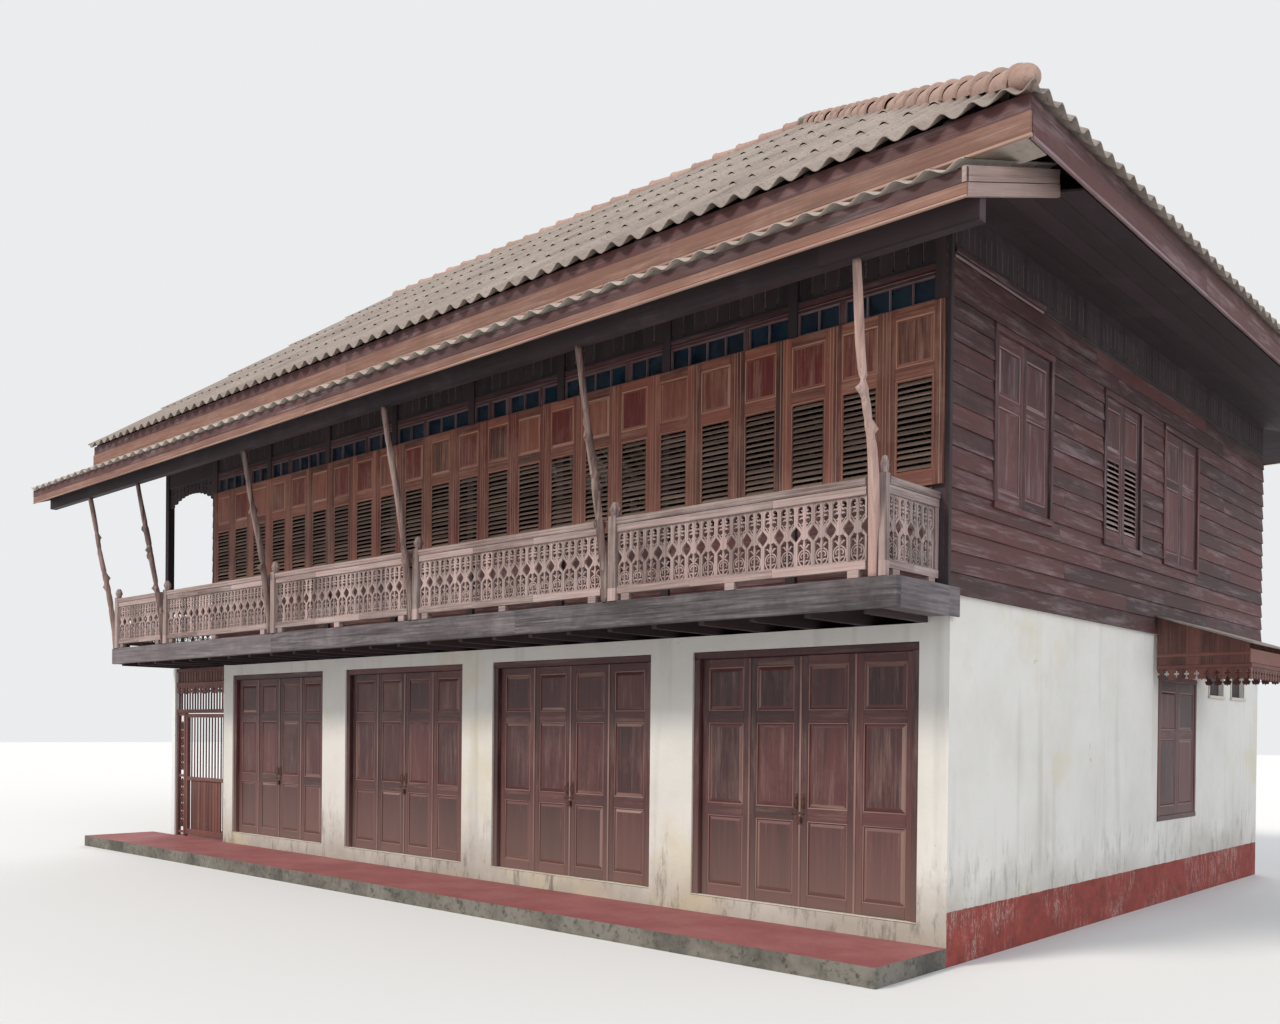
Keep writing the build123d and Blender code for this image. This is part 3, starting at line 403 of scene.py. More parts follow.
@dataclass(frozen=True)
class Screed(Finish):
    """Cement floor painted red on top, with bare and mossy concrete down its sides."""

    top: str = "#874b4b"
    side: str = "#77726a"

    def surface(self, tree: Tree) -> dict:
        """Red where the face looks up, concrete where it looks sideways.

        Args:
            tree: the node tree.

        Returns:
            The shader's settings and links.
        """
        place = add_node(tree, "TexCoord")["Object"]
        up = add_node(tree, "SeparateXYZ", {0: add_node(tree, "NewGeometry")["Normal"]})[2]
        blotch = pattern(tree, place, 588.2, 8.0, 0.68)
        speck = pattern(tree, place, 71.43, 6.0, 0.75)
        red = stain(tree, self.top, "#a46c6a", blotch, 0.4, 0.7, 0.7)
        red = stain(tree, red, "#693c3c", speck, 0.6, 0.75, 0.5)
        side = stain(tree, self.side, "#4d4a43", blotch, 0.4, 0.62)
        side = stain(tree, side, "#33312c", speck, 0.52, 0.64, 0.8)
        return {
            "Base Color": stain(tree, side, red, up, 0.4, 0.6),
            "Roughness": 0.78,
            "Normal": add_node(tree, "Bump", {"Strength": 0.5, "Distance": 0.006, "Height": speck})[0],
        }


@dataclass(frozen=True)
class Fired(Finish):
    """Cement or clay roofing, pressed or fired, that has weathered: soft blotches, lichen and soot."""

    base: str
    pale: str
    soot: str
    roughness: float = 0.9
    lichen: float = 0.5

    def surface(self, tree: Tree) -> dict:
        """Two tones by tile and blotch, under specks of lichen and clouds of soot.

        Args:
            tree: the node tree.

        Returns:
            The shader's settings and links.
        """
        place = add_node(tree, "TexCoord")["Object"]
        tone = add_node(tree, "Attribute", {"attribute_name": TONE})["Fac"]
        blotch = pattern(tree, place, 769.2, 9.0, 0.7)
        # Lichen grows in spots of 5 to 30 mm. Those are too fine to show on the roof, so 45 mm is drawn.
        speck = pattern(tree, place, 45.45, 6.0, 0.8)
        colour = stain(tree, self.base, self.pale, weighed(tree, (tone, 0.22), (blotch, 0.95)), 0.25, 0.95)
        colour = stain(tree, colour, self.soot, speck, 0.5, 0.75, self.lichen)
        cloud = add_node(tree, "Math", {"operation": "MULTIPLY", 0: blotch, 1: speck})[0]
        return {
            "Base Color": stain(tree, colour, self.soot, cloud, 0.3, 0.42, self.lichen),
            "Roughness": self.roughness,
            "Normal": add_node(tree, "Bump", {"Strength": 0.6, "Distance": 0.004, "Height": speck})[0],
        }


@dataclass(frozen=True)
class Coat(Finish):
    """A coat of one colour that is broken by patches of another: rust on iron, waves in glass, worn paint."""

    base: str
    patch: str
    patch_mm: float
    # The pattern's detail and roughness, then the values where patches start and are fullest, and how full.
    patch_look: tuple[float, float] = (6.0, 0.7)
    patch_range: tuple[float, float, float] = (0.42, 0.6, 1.0)
    # The relief's marks, or None for those of the patches, its strength and its depth in metres.
    relief_mm: Point | None = None
    relief: tuple[float, float] = (0.25, 0.001)
    roughness: float | None = None
    shader: tuple[tuple[str, float], ...] = ()

    def surface(self, tree: Tree) -> dict:
        """One colour in patches over another, with a relief.

        Args:
            tree: the node tree.

        Returns:
            The shader's settings and links.
        """
        place = add_node(tree, "TexCoord")["Object"]
        patches = pattern(tree, place, self.patch_mm, *self.patch_look)
        height = pattern(tree, place, self.relief_mm, 4.0) if self.relief_mm else patches
        gloss = {0: height, 1: -0.6, 2: 1.3}
        strength, depth = self.relief
        return {
            "Base Color": stain(tree, self.base, self.patch, patches, *self.patch_range),
            "Roughness": self.roughness or add_node(tree, "MapRange", gloss)[0],
            "Normal": add_node(tree, "Bump", {"Strength": strength, "Distance": depth, "Height": height})[0],
            **dict(self.shader),
        }


@dataclass(frozen=True)
class Plain(Finish):
    """Matt paint of one colour, for the studio's floor."""

    shade: str

    def surface(self, tree: Tree) -> dict:
        """One colour, quite matt."""
        return {"Base Color": linear(self.shade), "Roughness": 0.95}


class Palette:
    """Every finish of the house, each made once when it is first asked for."""

    # Red hardwood on the upper front, rubbed and sun-faded: brown boards with a few oxblood panels.
    shutter = Timber(
        "worn_oiled_hardwood", "#3a1713", "#8f5241", "#b8957f", 0.4, 0.58, 22.0, accent="#5b1213", marks=0.4
    )
    # Louvres behind them, greyer because rain runs down them.
    slat = Timber("rain_washed_slats", "#45352f", "#8f7769", "#a79689", 0.4, 0.7)
    # Old oiled side walls under the eaves: deep purple-brown with grey rain marks on the lower boards.
    wall = Timber("old_oiled_boards", "#241213", "#592f2d", "#8d7a7d", 0.24, 0.66, 18.0, marks=0.6)
    # Posts, plates, rafters, soffit, purlin, valance and vent boards that stand in deep shade: their almost
    # black colour is painted shade.
    shade = Timber("painted_shade_dark_hardwood", "#1e161a", "#3c2d32", "#84777a", 0.2, 0.7)
    # Bare balcony timber, silver-pink where the sun falls on it.
    bare = Timber("sun_bleached_hardwood", "#594946", "#ac948f", "#b5aca8", 0.45, 0.78, 18.0)
    # Peeled branches, red-brown under streaks of grey bark.
    branch = Timber("peeled_branch", "#33211f", "#ab8c82", "#c6b5ab", 0.35, 0.7, 26.0, marks=0.45)
    # Edge beam of the balcony, grey with open grain: its dark, cool grey is partly weathering and partly
    # painted shade.
    grey = Timber("grey_beam_weathered_and_painted_shade", "#322d2f", "#6c6265", "#8f888a", 0.5, 0.85, 24.0, marks=0.6)
    # Edge boards of the roofs, red-brown and faded at their lower edge.
    fascia = Timber("faded_edge_board", "#3f2622", "#7f5748", "#ae9284", 0.35, 0.66, 18.0, marks=0.4)
    # Verge boards of the low roof, pale grey: the paleness is painted sunlight on them. One side window's
    # louvres share it.
    verge = Timber("pale_grey_board_painted_sunlight", "#6a5450", "#a18a83", "#b7aaa4", 0.45, 0.8)
    # Folding doors, oxblood stain rubbed through to grey-brown near the ground.
    door = Timber(
        "oxblood_stained_door", "#281013", "#5a2f2f", "#94796f", 0.28, 0.5, 18.0, dusty_below=1.3, marks=0.4
    )
    # Screen and gate of the passage, brown-red carpentry.
    screen = Timber("red_brown_joinery", "#3b201e", "#74463d", "#977a6f", 0.35, 0.65)
    # Masonry, white lime wash that stays bright between its stains, with the red band on the side.
    plaster = Plaster("lime_washed_render", "#d6d4cf", "#bab7b0", "#8f3d34", 0.45, HOUSE.right)
    # Cement floors, matt red where feet rub them.
    screed = Screed("red_cement_screed")
    # Fibre-cement roofing, grey-beige with lichen: it scatters light and has no gloss.
    tile = Fired("weathered_cement_tile", "#776b65", "#ab9f95", "#443b38", 0.92, 0.6)
    sheet = Fired("weathered_cement_sheet", "#8d8279", "#bbb0a6", "#564d48", 0.9, 0.5)
    # Ridge and hip tiles, fired clay, pink where it is clean.
    clay = Fired("fired_clay_capping", "#8c7168", "#bda193", "#54423c", 0.85, 0.55)
    # Lime mortar, pale and chalky, and darker where rain stands on it.
    mortar = Fired("lime_mortar", "#b8b0a2", "#cfc8bb", "#77706a", 0.9, 0.3)
    old_mortar = Fired("rain_darkened_mortar", "#8b827a", "#a79d94", "#5c554f", 0.92, 0.5)
    # Old drawn glass, a little wavy: blue-black from the dark room behind it.
    glass = Coat(
        "old_drawn_glass", "#101f2e", "#1f3848", 200, (2.0, 0.5), (0.35, 0.7, 1.0), relief=(0.15, 0.004),
        roughness=0.12, shader=(("IOR", 1.52), ("Transmission Weight", 0.1)),
    )
    # Forged iron, brown from a dry coat of rust. Its real pits are 1 to 3 mm, and are drawn coarser to show.
    iron = Coat(
        "rusted_wrought_iron", "#3a302c", "#6b4330", 16.67, relief=(0.4, 0.001), roughness=0.75,
        shader=(("Metallic", 0.35),),
    )
    # Brushed oil paint on planed posts: white, chalky with age, its strokes drawn coarser than real bristles.
    white = Coat(
        "chalky_white_oil_paint", "#dfe2e2", "#a9aaa6", 142.9, (7.0, 0.75), (0.58, 0.72, 0.75),
        relief_mm=(25, 25, 333.3),
    )

    made: dict = {}

    @classmethod
    def get(cls, finish: Finish) -> bpy.types.Material:
        """Finds a finish's material.

        Args:
            finish: the finish.

        Returns:
            The material, made on the first call.
        """
        if finish not in cls.made:
            cls.made[finish] = finish.material()
        return cls.made[finish]


@dataclass(frozen=True)
class Place:
    """Where flat work stands: x along it, y into the wall and z up, measured from an origin."""

    origin: Point = (0.0, 0.0, 0.0)
    along: Point = (1.0, 0.0, 0.0)
    inward: Point = (0.0, 1.0, 0.0)
    upward: Point = (0.0, 0.0, 1.0)

    def moved(self, x: float, y: float, z: float) -> "Place":
        """The same place with its origin moved by local distances."""
        return Place(tuple(self.points(np.array([[x, y, z]]))[0]), self.along, self.inward, self.upward)

    def points(self, local: np.ndarray) -> np.ndarray:
        """Turns rows of local x, y and z into the same points in the house's frame."""
        axes = np.array([self.along, self.inward, self.upward], float)
        return np.asarray(local, float) @ axes + np.array(self.origin, float)


HERE = Place()
BLOCK = ((0, 3, 2, 1), (4, 5, 6, 7), (0, 1, 5, 4), (1, 2, 6, 5), (2, 3, 7, 6), (3, 0, 4, 7))


def turn(count: int) -> np.ndarray:
    """The angles of a full turn in equal steps."""
    return np.linspace(0, 2 * math.pi, count + 1)[:-1]


def ring(
    centre: Sequence[float], radius: float | np.ndarray, angles: np.ndarray,
    side: Sequence[float] = (1, 0, 0),
    lift: Sequence[float] = (0, 1, 0),
) -> np.ndarray:
    """Rows of points round a centre, at angles that run from the side's direction to the lift's."""
    out = np.cos(angles)[:, None] * np.array(side) + np.sin(angles)[:, None] * np.array(lift)
    return np.array(centre) + np.asarray(radius, float)[..., None] * out


@dataclass
class Draft:
    """Gathers the faces of one piece, with a tone and a grain map for every face."""

    seed: int = 1
    points: list = field(default_factory=list)
    faces: list = field(default_factory=list)
    maps: list = field(default_factory=list)
    tones: list = field(default_factory=list)
    count: int = 0

    def __post_init__(self) -> None:
        """Starts the piece's own random sequence."""
        self.random = np.random.default_rng(self.seed)

    def tone(self, low: float = 0.0, high: float = 0.85) -> float:
        """A random tone for one board."""
        return float(self.random.uniform(low, high))

    def add(
        self, place: Place, local: np.ndarray, faces: Iterable[tuple], grain: Grain, tone: float | None = None
    ) -> None:
        """Adds one board or block.

        Args:
            place: where it stands.
            local: its corners.
            faces: the corners of each face, outwards.
            grain: the local axis its grain follows.
            tone: its tone, or None for a random one.
        """
        local = np.asarray(local, float)
        tone = self.tone() if tone is None else tone
        axis = grain.value if grain is not Grain.BOARDS else 0
        shift = self.random.uniform(0, 40, 2)
        others = [i for i in range(3) if i != axis]
        for face in faces:
            corners = local[list(face)]
            flat = corners.max(0) - corners.min(0)
            across = others[0] if flat[others[0]] >= flat[others[1]] else others[1]
            self.maps += [(c[axis] + shift[0], c[across] + shift[1]) for c in corners]
            self.faces.append(tuple(self.count + i for i in face))
            self.tones.append(tone)
        self.points.append(place.points(local))
        self.count += len(local)

    def box(
        self, place: Place, low: Point, high: Point, grain: Grain = Grain.X, tone: float | None = None
    ) -> None:
        """Adds a straight block.

        Args:
            place: where it stands.
            low: its lowest corner.
            high: its highest corner.
            grain: the local axis its grain follows.
            tone: its tone, or None for a random one.
        """
        (a, b, c), (d, e, f) = low, high
        corners = [(a, b, c), (d, b, c), (d, e, c), (a, e, c), (a, b, f), (d, b, f), (d, e, f), (a, e, f)]
        self.add(place, corners, BLOCK, grain, tone)

    def prism(
        self, place: Place, outline: list[Flat], y0: float, y1: float, grain: Grain = Grain.Z,
        tone: float | None = None, edge: float | None = None,
    ) -> None:
        """Adds a board cut to an outline.

        Args:
            place: where it stands.
            outline: x and z of its corners, anticlockwise seen from the front.
            y0: its front.
            y1: its back.
            grain: the local axis its grain follows.
            tone: its tone, or None for a random one.
            edge: the tone of its sawn edges, or None for its own.
        """
        n = len(outline)
        tone = self.tone() if tone is None else tone
        corners = [(x, y0, z) for x, z in outline] + [(x, y1, z) for x, z in outline]
        self.add(place, corners, [tuple(range(n)), tuple(range(2 * n - 1, n - 1, -1))], grain, tone)
        sides = [((i + 1) % n, i, n + i, n + (i + 1) % n) for i in range(n)]
        self.add(place, corners, sides, grain, tone if edge is None else edge)

    def bar(
        self, place: Place, profile: Sequence[Flat], x0: float, x1: float, tone: float | None = None
    ) -> None:
        """Adds a bar of one four-cornered profile that runs along x, such as a slat or a lapped board.

        Args:
            place: where it stands.
            profile: y and z of its corners, clockwise seen from its right end.
            x0: its left end.
            x1: its right end.
            tone: its tone, or None for a random one.
        """
        corners = [(x, y, z) for x in (x0, x1) for y, z in profile]
        around = [(k, 4 + k, 4 + (k + 1) % 4, (k + 1) % 4) for k in range(4)]
        self.add(place, corners, [(0, 1, 2, 3), (7, 6, 5, 4)] + around, Grain.X, tone)

    def field_panel(
        self, place: Place, low: Flat, high: Flat, y_back: float, y_front: float, rim: float, tone: float
    ) -> None:
        """Adds a raised panel field with four bevels, some of them rubbed pale.

        Args:
            place: where the leaf stands.
            low: x and z of the panel's lower left corner.
            high: x and z of its upper right corner.
            y_back: the depth of its outer edge.
            y_front: the depth of its field.
            rim: the width of its bevels.
            tone: the field's tone.
        """
        (a, c), (d, f) = low, high
        outer = [(a, y_back, c), (d, y_back, c), (d, y_back, f), (a, y_back, f)]
        a, c, d, f = a + rim, c + rim, d - rim, f - rim
        inner = [(a, y_front, c), (d, y_front, c), (d, y_front, f), (a, y_front, f)]
        self.add(place, outer + inner, [(4, 5, 6, 7)], Grain.Z, tone)
        for i in range(4):
            j = (i + 1) % 4
            grain = Grain.X if i % 2 == 0 else Grain.Z
            worn = PALE_EDGE if self.random.uniform() < 0.3 else 0.85
            self.add(place, [outer[i], outer[j], inner[j], inner[i]], [(0, 1, 2, 3)], grain, worn)

    def timber(
        self, place: Place, low: Point, high: Point, grain: Grain, chamfer: float = 0.006,
        wander: float = 0.002,
        tone: float | None = None, step: float = 0.35,
    ) -> None:
        """Adds a sawn timber with worn corners and faces that aren't quite straight.

        Args:
            place: where it stands.
            low: its lowest corner.
            high: its highest corner.
            grain: the local axis it runs along.
            chamfer: width of the worn corners.
            wander: how far its faces stray inwards.
            tone: its tone, or None for a random one.
            step: distance between the cuts along it.
        """
        axis = grain.value
        u, v = [i for i in range(3) if i != axis]
        if axis == 1:
            u, v = 2, 0
        low, high = np.array(low, float), np.array(high, float)
        n = max(1, int((high[axis] - low[axis]) / step))
        c = min(chamfer, (high[u] - low[u]) / 3, (high[v] - low[v]) / 3)
        insets = [(c, 0), (-c, 0), (0, c), (0, -c), (-c, 0), (c, 0), (0, -c), (0, c)]
        ends = [(0, 0), (1, 0), (1, 0), (1, 1), (1, 1), (0, 1), (0, 1), (0, 0)]
        corners = []
        for i in range(n + 1):
            stray = self.random.uniform(0, wander, 4)
            for (du, dv), (eu, ev) in zip(insets, ends):
                p = np.zeros(3)
                p[axis] = low[axis] + (high[axis] - low[axis]) * i / n
                p[u] = (high[u] - stray[0] if eu else low[u] + stray[1]) + du
                p[v] = (high[v] - stray[2] if ev else low[v] + stray[3]) + dv
                corners.append(p)
        faces = []
        for i in range(n):
            for k in range(8):
                a, b = i * 8 + k, i * 8 + (k + 1) % 8
                faces.append((a, b, b + 8, a + 8))
        faces += [tuple(range(7, -1, -1)), tuple(n * 8 + k for k in range(8))]
        self.add(place, corners, faces, grain, tone)

    def ribbon(
        self, place: Place, line: list[Flat], widths: list[float], y0: float, y1: float,
        tone: float | None = None
    ) -> None:
        """Adds one stroke of fretwork: a bar of changing width that follows a line.

        Args:
            place: where the work stands.
            line: x and z of the stroke's middle.
            widths: its width at each point.
            y0: its front.
            y1: its back.
            tone: its tone, or None for a random one.
        """
        mid = np.array(line, float)
        run = np.gradient(mid, axis=0)
        run /= np.linalg.norm(run, axis=1)[:, None]
        side = np.stack([-run[:, 1], run[:, 0]], 1) * np.array(widths)[:, None] / 2
        left, right = mid + side, mid - side
        n = len(mid)
        corners = [(x, y, z) for y in (y0, y1) for edge in (left, right) for x, z in edge]
        faces = []
        for i in range(n - 1):
            faces.append((n + i, n + i + 1, i + 1, i))
            faces.append((2 * n + i, 2 * n + i + 1, 3 * n + i + 1, 3 * n + i))
            faces.append((i, i + 1, 2 * n + i + 1, 2 * n + i))
            faces.append((n + i + 1, n + i, 3 * n + i, 3 * n + i + 1))
        self.add(place, corners, faces, Grain.Z, tone)

    def rings(
        self, rings: list[np.ndarray], grain: Grain, tone: float | None = None, closed: bool = True,
        flipped: bool = False,
    ) -> None:
        """Adds a skin over rings or over open rows, such as a branch, a half-round tile or a waved sheet.

        Args:
            rings: the points of each ring or row, as many in each.
            grain: the axis its grain follows.
            tone: its tone, or None for a random one.
            closed: whether each ring closes on itself and the ends are capped.
            flipped: whether its faces have to be turned over.
        """
        n = len(rings[0])
        faces = []
        for i in range(len(rings) - 1):
            for k in range(n if closed else n - 1):
                a, b = i * n + k, i * n + (k + 1) % n
                faces.append((a, b, b + n, a + n))
        if closed:
            faces += [tuple(range(n - 1, -1, -1)), tuple((len(rings) - 1) * n + k for k in range(n))]
        if flipped:
            faces = [face[::-1] for face in faces]
        self.add(HERE, np.concatenate(rings), faces, grain, tone)

    def build(
        self, name: str, finish: Finish, slot: str, replaces: Iterable[str] = (), body: str = "house",
        bevel: float = 0.0, smooth: bool = False,
    ) -> bpy.types.Object:
        """Makes the piece.

        Args:
            name: its name.
            finish: its finish.
            slot: the record's slot of that finish; it is not used.
            replaces: the CAD nodes it stands for.
            body: the body it rides on.
            bevel: width of its rounded edges, or 0.
            smooth: whether its faces shade smoothly.

        Returns:
            The piece.
        """
        mesh = bpy.data.meshes.new(name)
        mesh.from_pydata(np.concatenate(self.points).tolist(), [], self.faces)
        layer = mesh.uv_layers.new(name=GRAIN_MAP)
        layer.data.foreach_set("uv", np.array(self.maps, np.float32).ravel())
        attribute = mesh.attributes.new(TONE, "FLOAT", "FACE")
        attribute.data.foreach_set("value", np.array(self.tones, np.float32))
        if smooth:
            mesh.shade_smooth()
        mesh.materials.append(Palette.get(finish))
        piece = bpy.data.objects.new(name, mesh)
        bpy.context.scene.collection.objects.link(piece)
        if bevel:
            modifier = piece.modifiers.new("worn_edges", "BEVEL")
            modifier.width, modifier.segments, modifier.limit_method = bevel, 1, "ANGLE"
        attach(piece, body)
        if replaces:
            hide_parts(*replaces)
        LOG.info("%s: %d faces, %s", name, len(self.faces), finish.name)
        return piece


def dress(node: str, finish: Finish) -> None:
    """Gives a CAD node its finish.

    Args:
        node: the node's name.
        finish: the finish.
    """
    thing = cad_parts[node]
    thing.data.materials.clear()
    thing.data.materials.append(Palette.get(finish))
    LOG.info("%s: %s", node, finish.name)


def along(finish: Timber, grain: Grain, board: float = HOUSE.board) -> Timber:
    """The same timber for a CAD node whose members all run one way."""
    return replace(finish, name=f"{finish.name}_{grain.name.lower()}", mapping=grain, board_m=board)


@dataclass
class LeafMaker:
    """A framed door or shutter leaf: stiles, rails, and a panel or louvres in each opening."""

    stile: float = 0.07
    thick: float = 0.04
    rim: float = 0.03
    moulding: float = 0.014
    slat_pitch: float = 0.055
    slat_depth: float = 0.03
    # The worn edge round louvres, and how many panels are of another colour.
    worn_edge: float = 0.007
    accents: float = 0.0

    def make(
        self, draft: Draft, place: Place, width: float, rows: list[tuple[float, float, Infill]],
        height: float,
        slats: Draft | None = None,
    ) -> None:
        """Builds one leaf with its face at y = 0.

        Args:
            draft: the piece that takes it.
            place: its lower left corner on the wall's face.
            width: its width.
            rows: bottom, top and infill of each opening, from the foot up.
            height: its height.
            slats: the piece that takes its louvres, or None for the same.
        """
        s, t = self.stile, self.thick
        own = draft.tone()
        stained = draft.random.uniform() < self.accents * 0.6
        for x in (0.0, width - s):
            tone = ACCENT if stained else min(0.85, max(0.0, own + float(draft.random.uniform(-0.2, 0.2))))
            draft.box(place, (x, 0, 0), (x + s, t, height), Grain.Z, tone)
        edges = [0.0] + [z for low, high, _ in rows for z in (low, high)] + [height]
        for low, high in zip(edges[0::2], edges[1::2]):
            draft.box(place, (s, 0.001, low), (width - s, t - 0.001, high), Grain.X)
        for low, high, kind in rows:
            if kind is Infill.PANEL:
                self.panel(draft, place, (s, low), (width - s, high))
            else:
                e, m = self.worn_edge, self.moulding + self.worn_edge
                self.bead(draft, place, (s, low), (width - s, high), e, PALE_EDGE)
                self.bead(draft, place, (s + e, low + e), (width - s - e, high - e), self.moulding, None)
                self.louvres(slats or draft, place, (s + m, low + m), (width - s - m, high - m))

    def bead(self, draft: Draft, place: Place, low: Flat, high: Flat, m: float, tone: float | None) -> None:
        """Adds a moulding round an opening.

        Args:
            draft: the piece that takes it.
            place: the leaf's lower left corner.
            low: x and z of the opening's lower left corner.
            high: x and z of its upper right corner.
            m: the moulding's width.
            tone: its tone, or None for a random one.
        """
        (x0, z0), (x1, z1) = low, high
        for a, b, grain in (
            ((x0, z0), (x1, z0 + m), Grain.X), ((x0, z1 - m), (x1, z1), Grain.X),
            ((x0, z0 + m), (x0 + m, z1 - m), Grain.Z), ((x1 - m, z0 + m), (x1, z1 - m), Grain.Z),
        ):
            draft.box(place, (a[0], 0.004, a[1]), (b[0], self.thick * 0.45, b[1]), grain, tone)

    def panel(self, draft: Draft, place: Place, low: Flat, high: Flat) -> None:
        """Fills an opening with a fielded panel and a moulding round it.

        Args:
            draft: the piece that takes it.
            place: the leaf's lower left corner.
            low: x and z of the opening's lower left corner.
            high: x and z of its upper right corner.
        """
        (x0, z0), (x1, z1) = low, high
        m, y = self.moulding, self.thick * 0.45
        tone = ACCENT if draft.random.uniform() < self.accents else draft.tone()
        draft.field_panel(place, (x0 + m, z0 + m), (x1 - m, z1 - m), y, self.thick * 0.12, self.rim, tone)
        draft.box(place, (x0, y, z0), (x1, y + 0.008, z1), Grain.Z, tone)
        self.bead(draft, place, low, high, m, PALE_EDGE)

    def louvres(self, draft: Draft, place: Place, low: Flat, high: Flat) -> None:
        """Fills an opening with slats that slope down and out, some of them a little askew.

        Args:
            draft: the piece that takes them.
            place: the leaf's lower left corner.
            low: x and z of the opening's lower left corner.
            high: x and z of its upper right corner.
        """
        (x0, z0), (x1, z1) = low, high
        count = max(2, round((z1 - z0) / self.slat_pitch))
        step = (z1 - z0) / count
        deep = self.slat_depth
        for i in range(count):
            z = z0 + step * (i + 0.12)
            lean = step * (0.62 + float(draft.random.uniform(-0.12, 0.12)))
            slat = [
                (0.004, z), (0.004 + deep, z + lean), (0.004 + deep, z + lean + 0.007), (0.004, z + 0.009)
            ]
            draft.bar(place, slat, x0, x1, draft.tone(0.2, 0.85))


@dataclass
class MasonryStorey:
    """The white ground storey, its floors and the small vents."""

    door_width: float = 2.45
    vents: tuple[float, ...] = (2.33, 3.25)
    vent_width: float = 0.56
    vent_low: float = 2.43
    vent_high: float = 2.76
    surround: float = 0.035
    nosing: Flat = (0.3205, 0.334)

    def build(self) -> None:
        """Dresses the masonry and the floors."""
        for node in (
            "foundation", "front_piers", "front_lintel", "right_masonry_wall", "back_masonry_wall",
            "left_masonry_wall",
        ):
            dress(node, Palette.plaster)
        for node in ("passage_floor", "front_walkway"):
            dress(node, Palette.screed)
        # The vents' panels take the near-black finish: painted shade inside the vents.
        dress("vent_panels", along(Palette.shade, Grain.Z, 0.09))
        self.threshold()
        self.vent_frames()

    def vent_frames(self) -> None:
        """Adds the rendered surrounds of the two small vents, with a sill that stands out a little."""
        draft = Draft(4)
        face, low, high, rim = HOUSE.right + 0.0001, self.vent_low, self.vent_high, self.surround
        for start in self.vents:
            end = start + self.vent_width
            left, right = start - rim, end + rim
            for y0, y1, z0, z1, proud in (
                (left, start, low, high, 0.012), (end, right, low, high, 0.012),
                (left, right, high, high + rim, 0.012), (left - 0.015, right + 0.015, low - rim, low, 0.026),
            ):
                draft.timber(HERE, (face, y0, z0), (face + proud, y1, z1), Grain.Z, 0.003, 0.002, 0.7)
        draft.build("vent_surrounds", Palette.mortar, "masonry")

    def threshold(self) -> None:
        """Adds the worn cement nosings under the folding doors, rounded and uneven at their edge."""
        low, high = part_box("door_frames")
        draft = Draft(3)
        bottom, top = self.nosing
        for i in range(4):
            centre = HOUSE.right - HOUSE.bay * (i + 0.5)
            x0, x1 = centre - self.door_width / 2, centre + self.door_width / 2
            near, far = (x0, low.y - 0.018, bottom), (x1, high.y - 0.075, top)
            draft.timber(HERE, near, far, Grain.X, 0.005, 0.003, 0.5, 0.12)
        draft.build("door_thresholds", Palette.mortar, "masonry")


@dataclass
class FoldingDoors:
    """Sixteen closed leaves with three fielded panels each, their frames, pulls and hasps."""

    bay: float = HOUSE.bay
    opening: float = 2.45
    frame_bar: float = 0.07
    head: float = 2.683
    floor: float = 0.32
    # Bottoms and tops of a leaf's three panels, and of the hasp, the lock and the pulls' plates.
    panels: tuple[Flat, ...] = ((0.11, 0.79), (0.9, 1.68), (1.79, 2.21))
    hasp: Flat = (1.172, 1.19)
    lock: Flat = (1.09, 1.15)
    plate: Flat = (1.2, 1.36)

    def build(self) -> None:
        """Builds the leaves, the frames and the ironwork."""
        leaves, frames, iron = Draft(11), Draft(12), Draft(13)
        maker = LeafMaker(0.075, 0.04, 0.034, 0.012)
        inner = self.opening - 2 * self.frame_bar
        step = inner / 4
        height = self.head - self.frame_bar - self.floor - 0.004
        rows = [(*levels, Infill.PANEL) for levels in self.panels]
        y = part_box("folding_doors")[0].y
        for i in range(4):
            centre = HOUSE.right - self.bay * (i + 0.5)
            for k in range(4):
                place = Place((centre - inner / 2 + step * k + 0.002, y, self.floor + 0.002))
                maker.make(leaves, place, step - 0.004, rows, height)
            for k in (1, 2, 3):
                x = centre - inner / 2 + step * k
                foot, top = self.floor + 0.004, self.floor + height
                leaves.box(HERE, (x - 0.011, y - 0.007, foot), (x + 0.011, y, top), Grain.Z, PALE_EDGE)
            self.casing(frames, centre)
            for side in (-1, 1):
                self.pull(iron, centre + side * 0.04, y)
            foot, top = self.hasp
            iron.box(HERE, (centre - 0.09, y - 0.012, foot), (centre + 0.05, y - 0.001, top), Grain.X)
            foot, top = self.lock
            iron.box(HERE, (centre - 0.02, y - 0.026, foot), (centre + 0.02, y - 0.004, top), Grain.Z)
        leaves.build("folding_door_leaves", Palette.door, "door_wood", ["folding_doors"], bevel=0.0025)
        frames.build("folding_door_frames", Palette.door, "door_wood", ["door_frames"])
        iron.build("door_ironwork", Palette.iron, "iron", bevel=0.002)

    def casing(self, draft: Draft, centre: float) -> None:
        """Adds one opening's jambs and head.

        Args:
            draft: the piece that takes them.
            centre: the middle of the opening.
        """
        low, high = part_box("door_frames")
        left, right = centre - self.opening / 2, centre + self.opening / 2
        under = self.head - self.frame_bar
        for x in (left, right - self.frame_bar):
            draft.timber(HERE, (x, low.y, self.floor), (x + self.frame_bar, high.y, under), Grain.Z)
        draft.timber(HERE, (left, low.y, under), (right, high.y, self.head), Grain.X)

    def pull(self, draft: Draft, x: float, y: float) -> None:
        """Adds one bow handle on its plate.

        Args:
            draft: the piece that takes it.
            x: its middle.
            y: the leaf's face.
        """
        foot, top = self.plate
        draft.box(HERE, (x - 0.014, y - 0.004, foot), (x + 0.014, y, top), Grain.Z)
        arc, mid = np.linspace(0, math.pi, 9), (foot + top) / 2
        bow = [(y - 0.004 - 0.03 * math.sin(a), mid - 0.055 * math.cos(a)) for a in arc]
        draft.rings([ring((x, depth, z), 0.006, turn(6)) for depth, z in bow], Grain.Z)


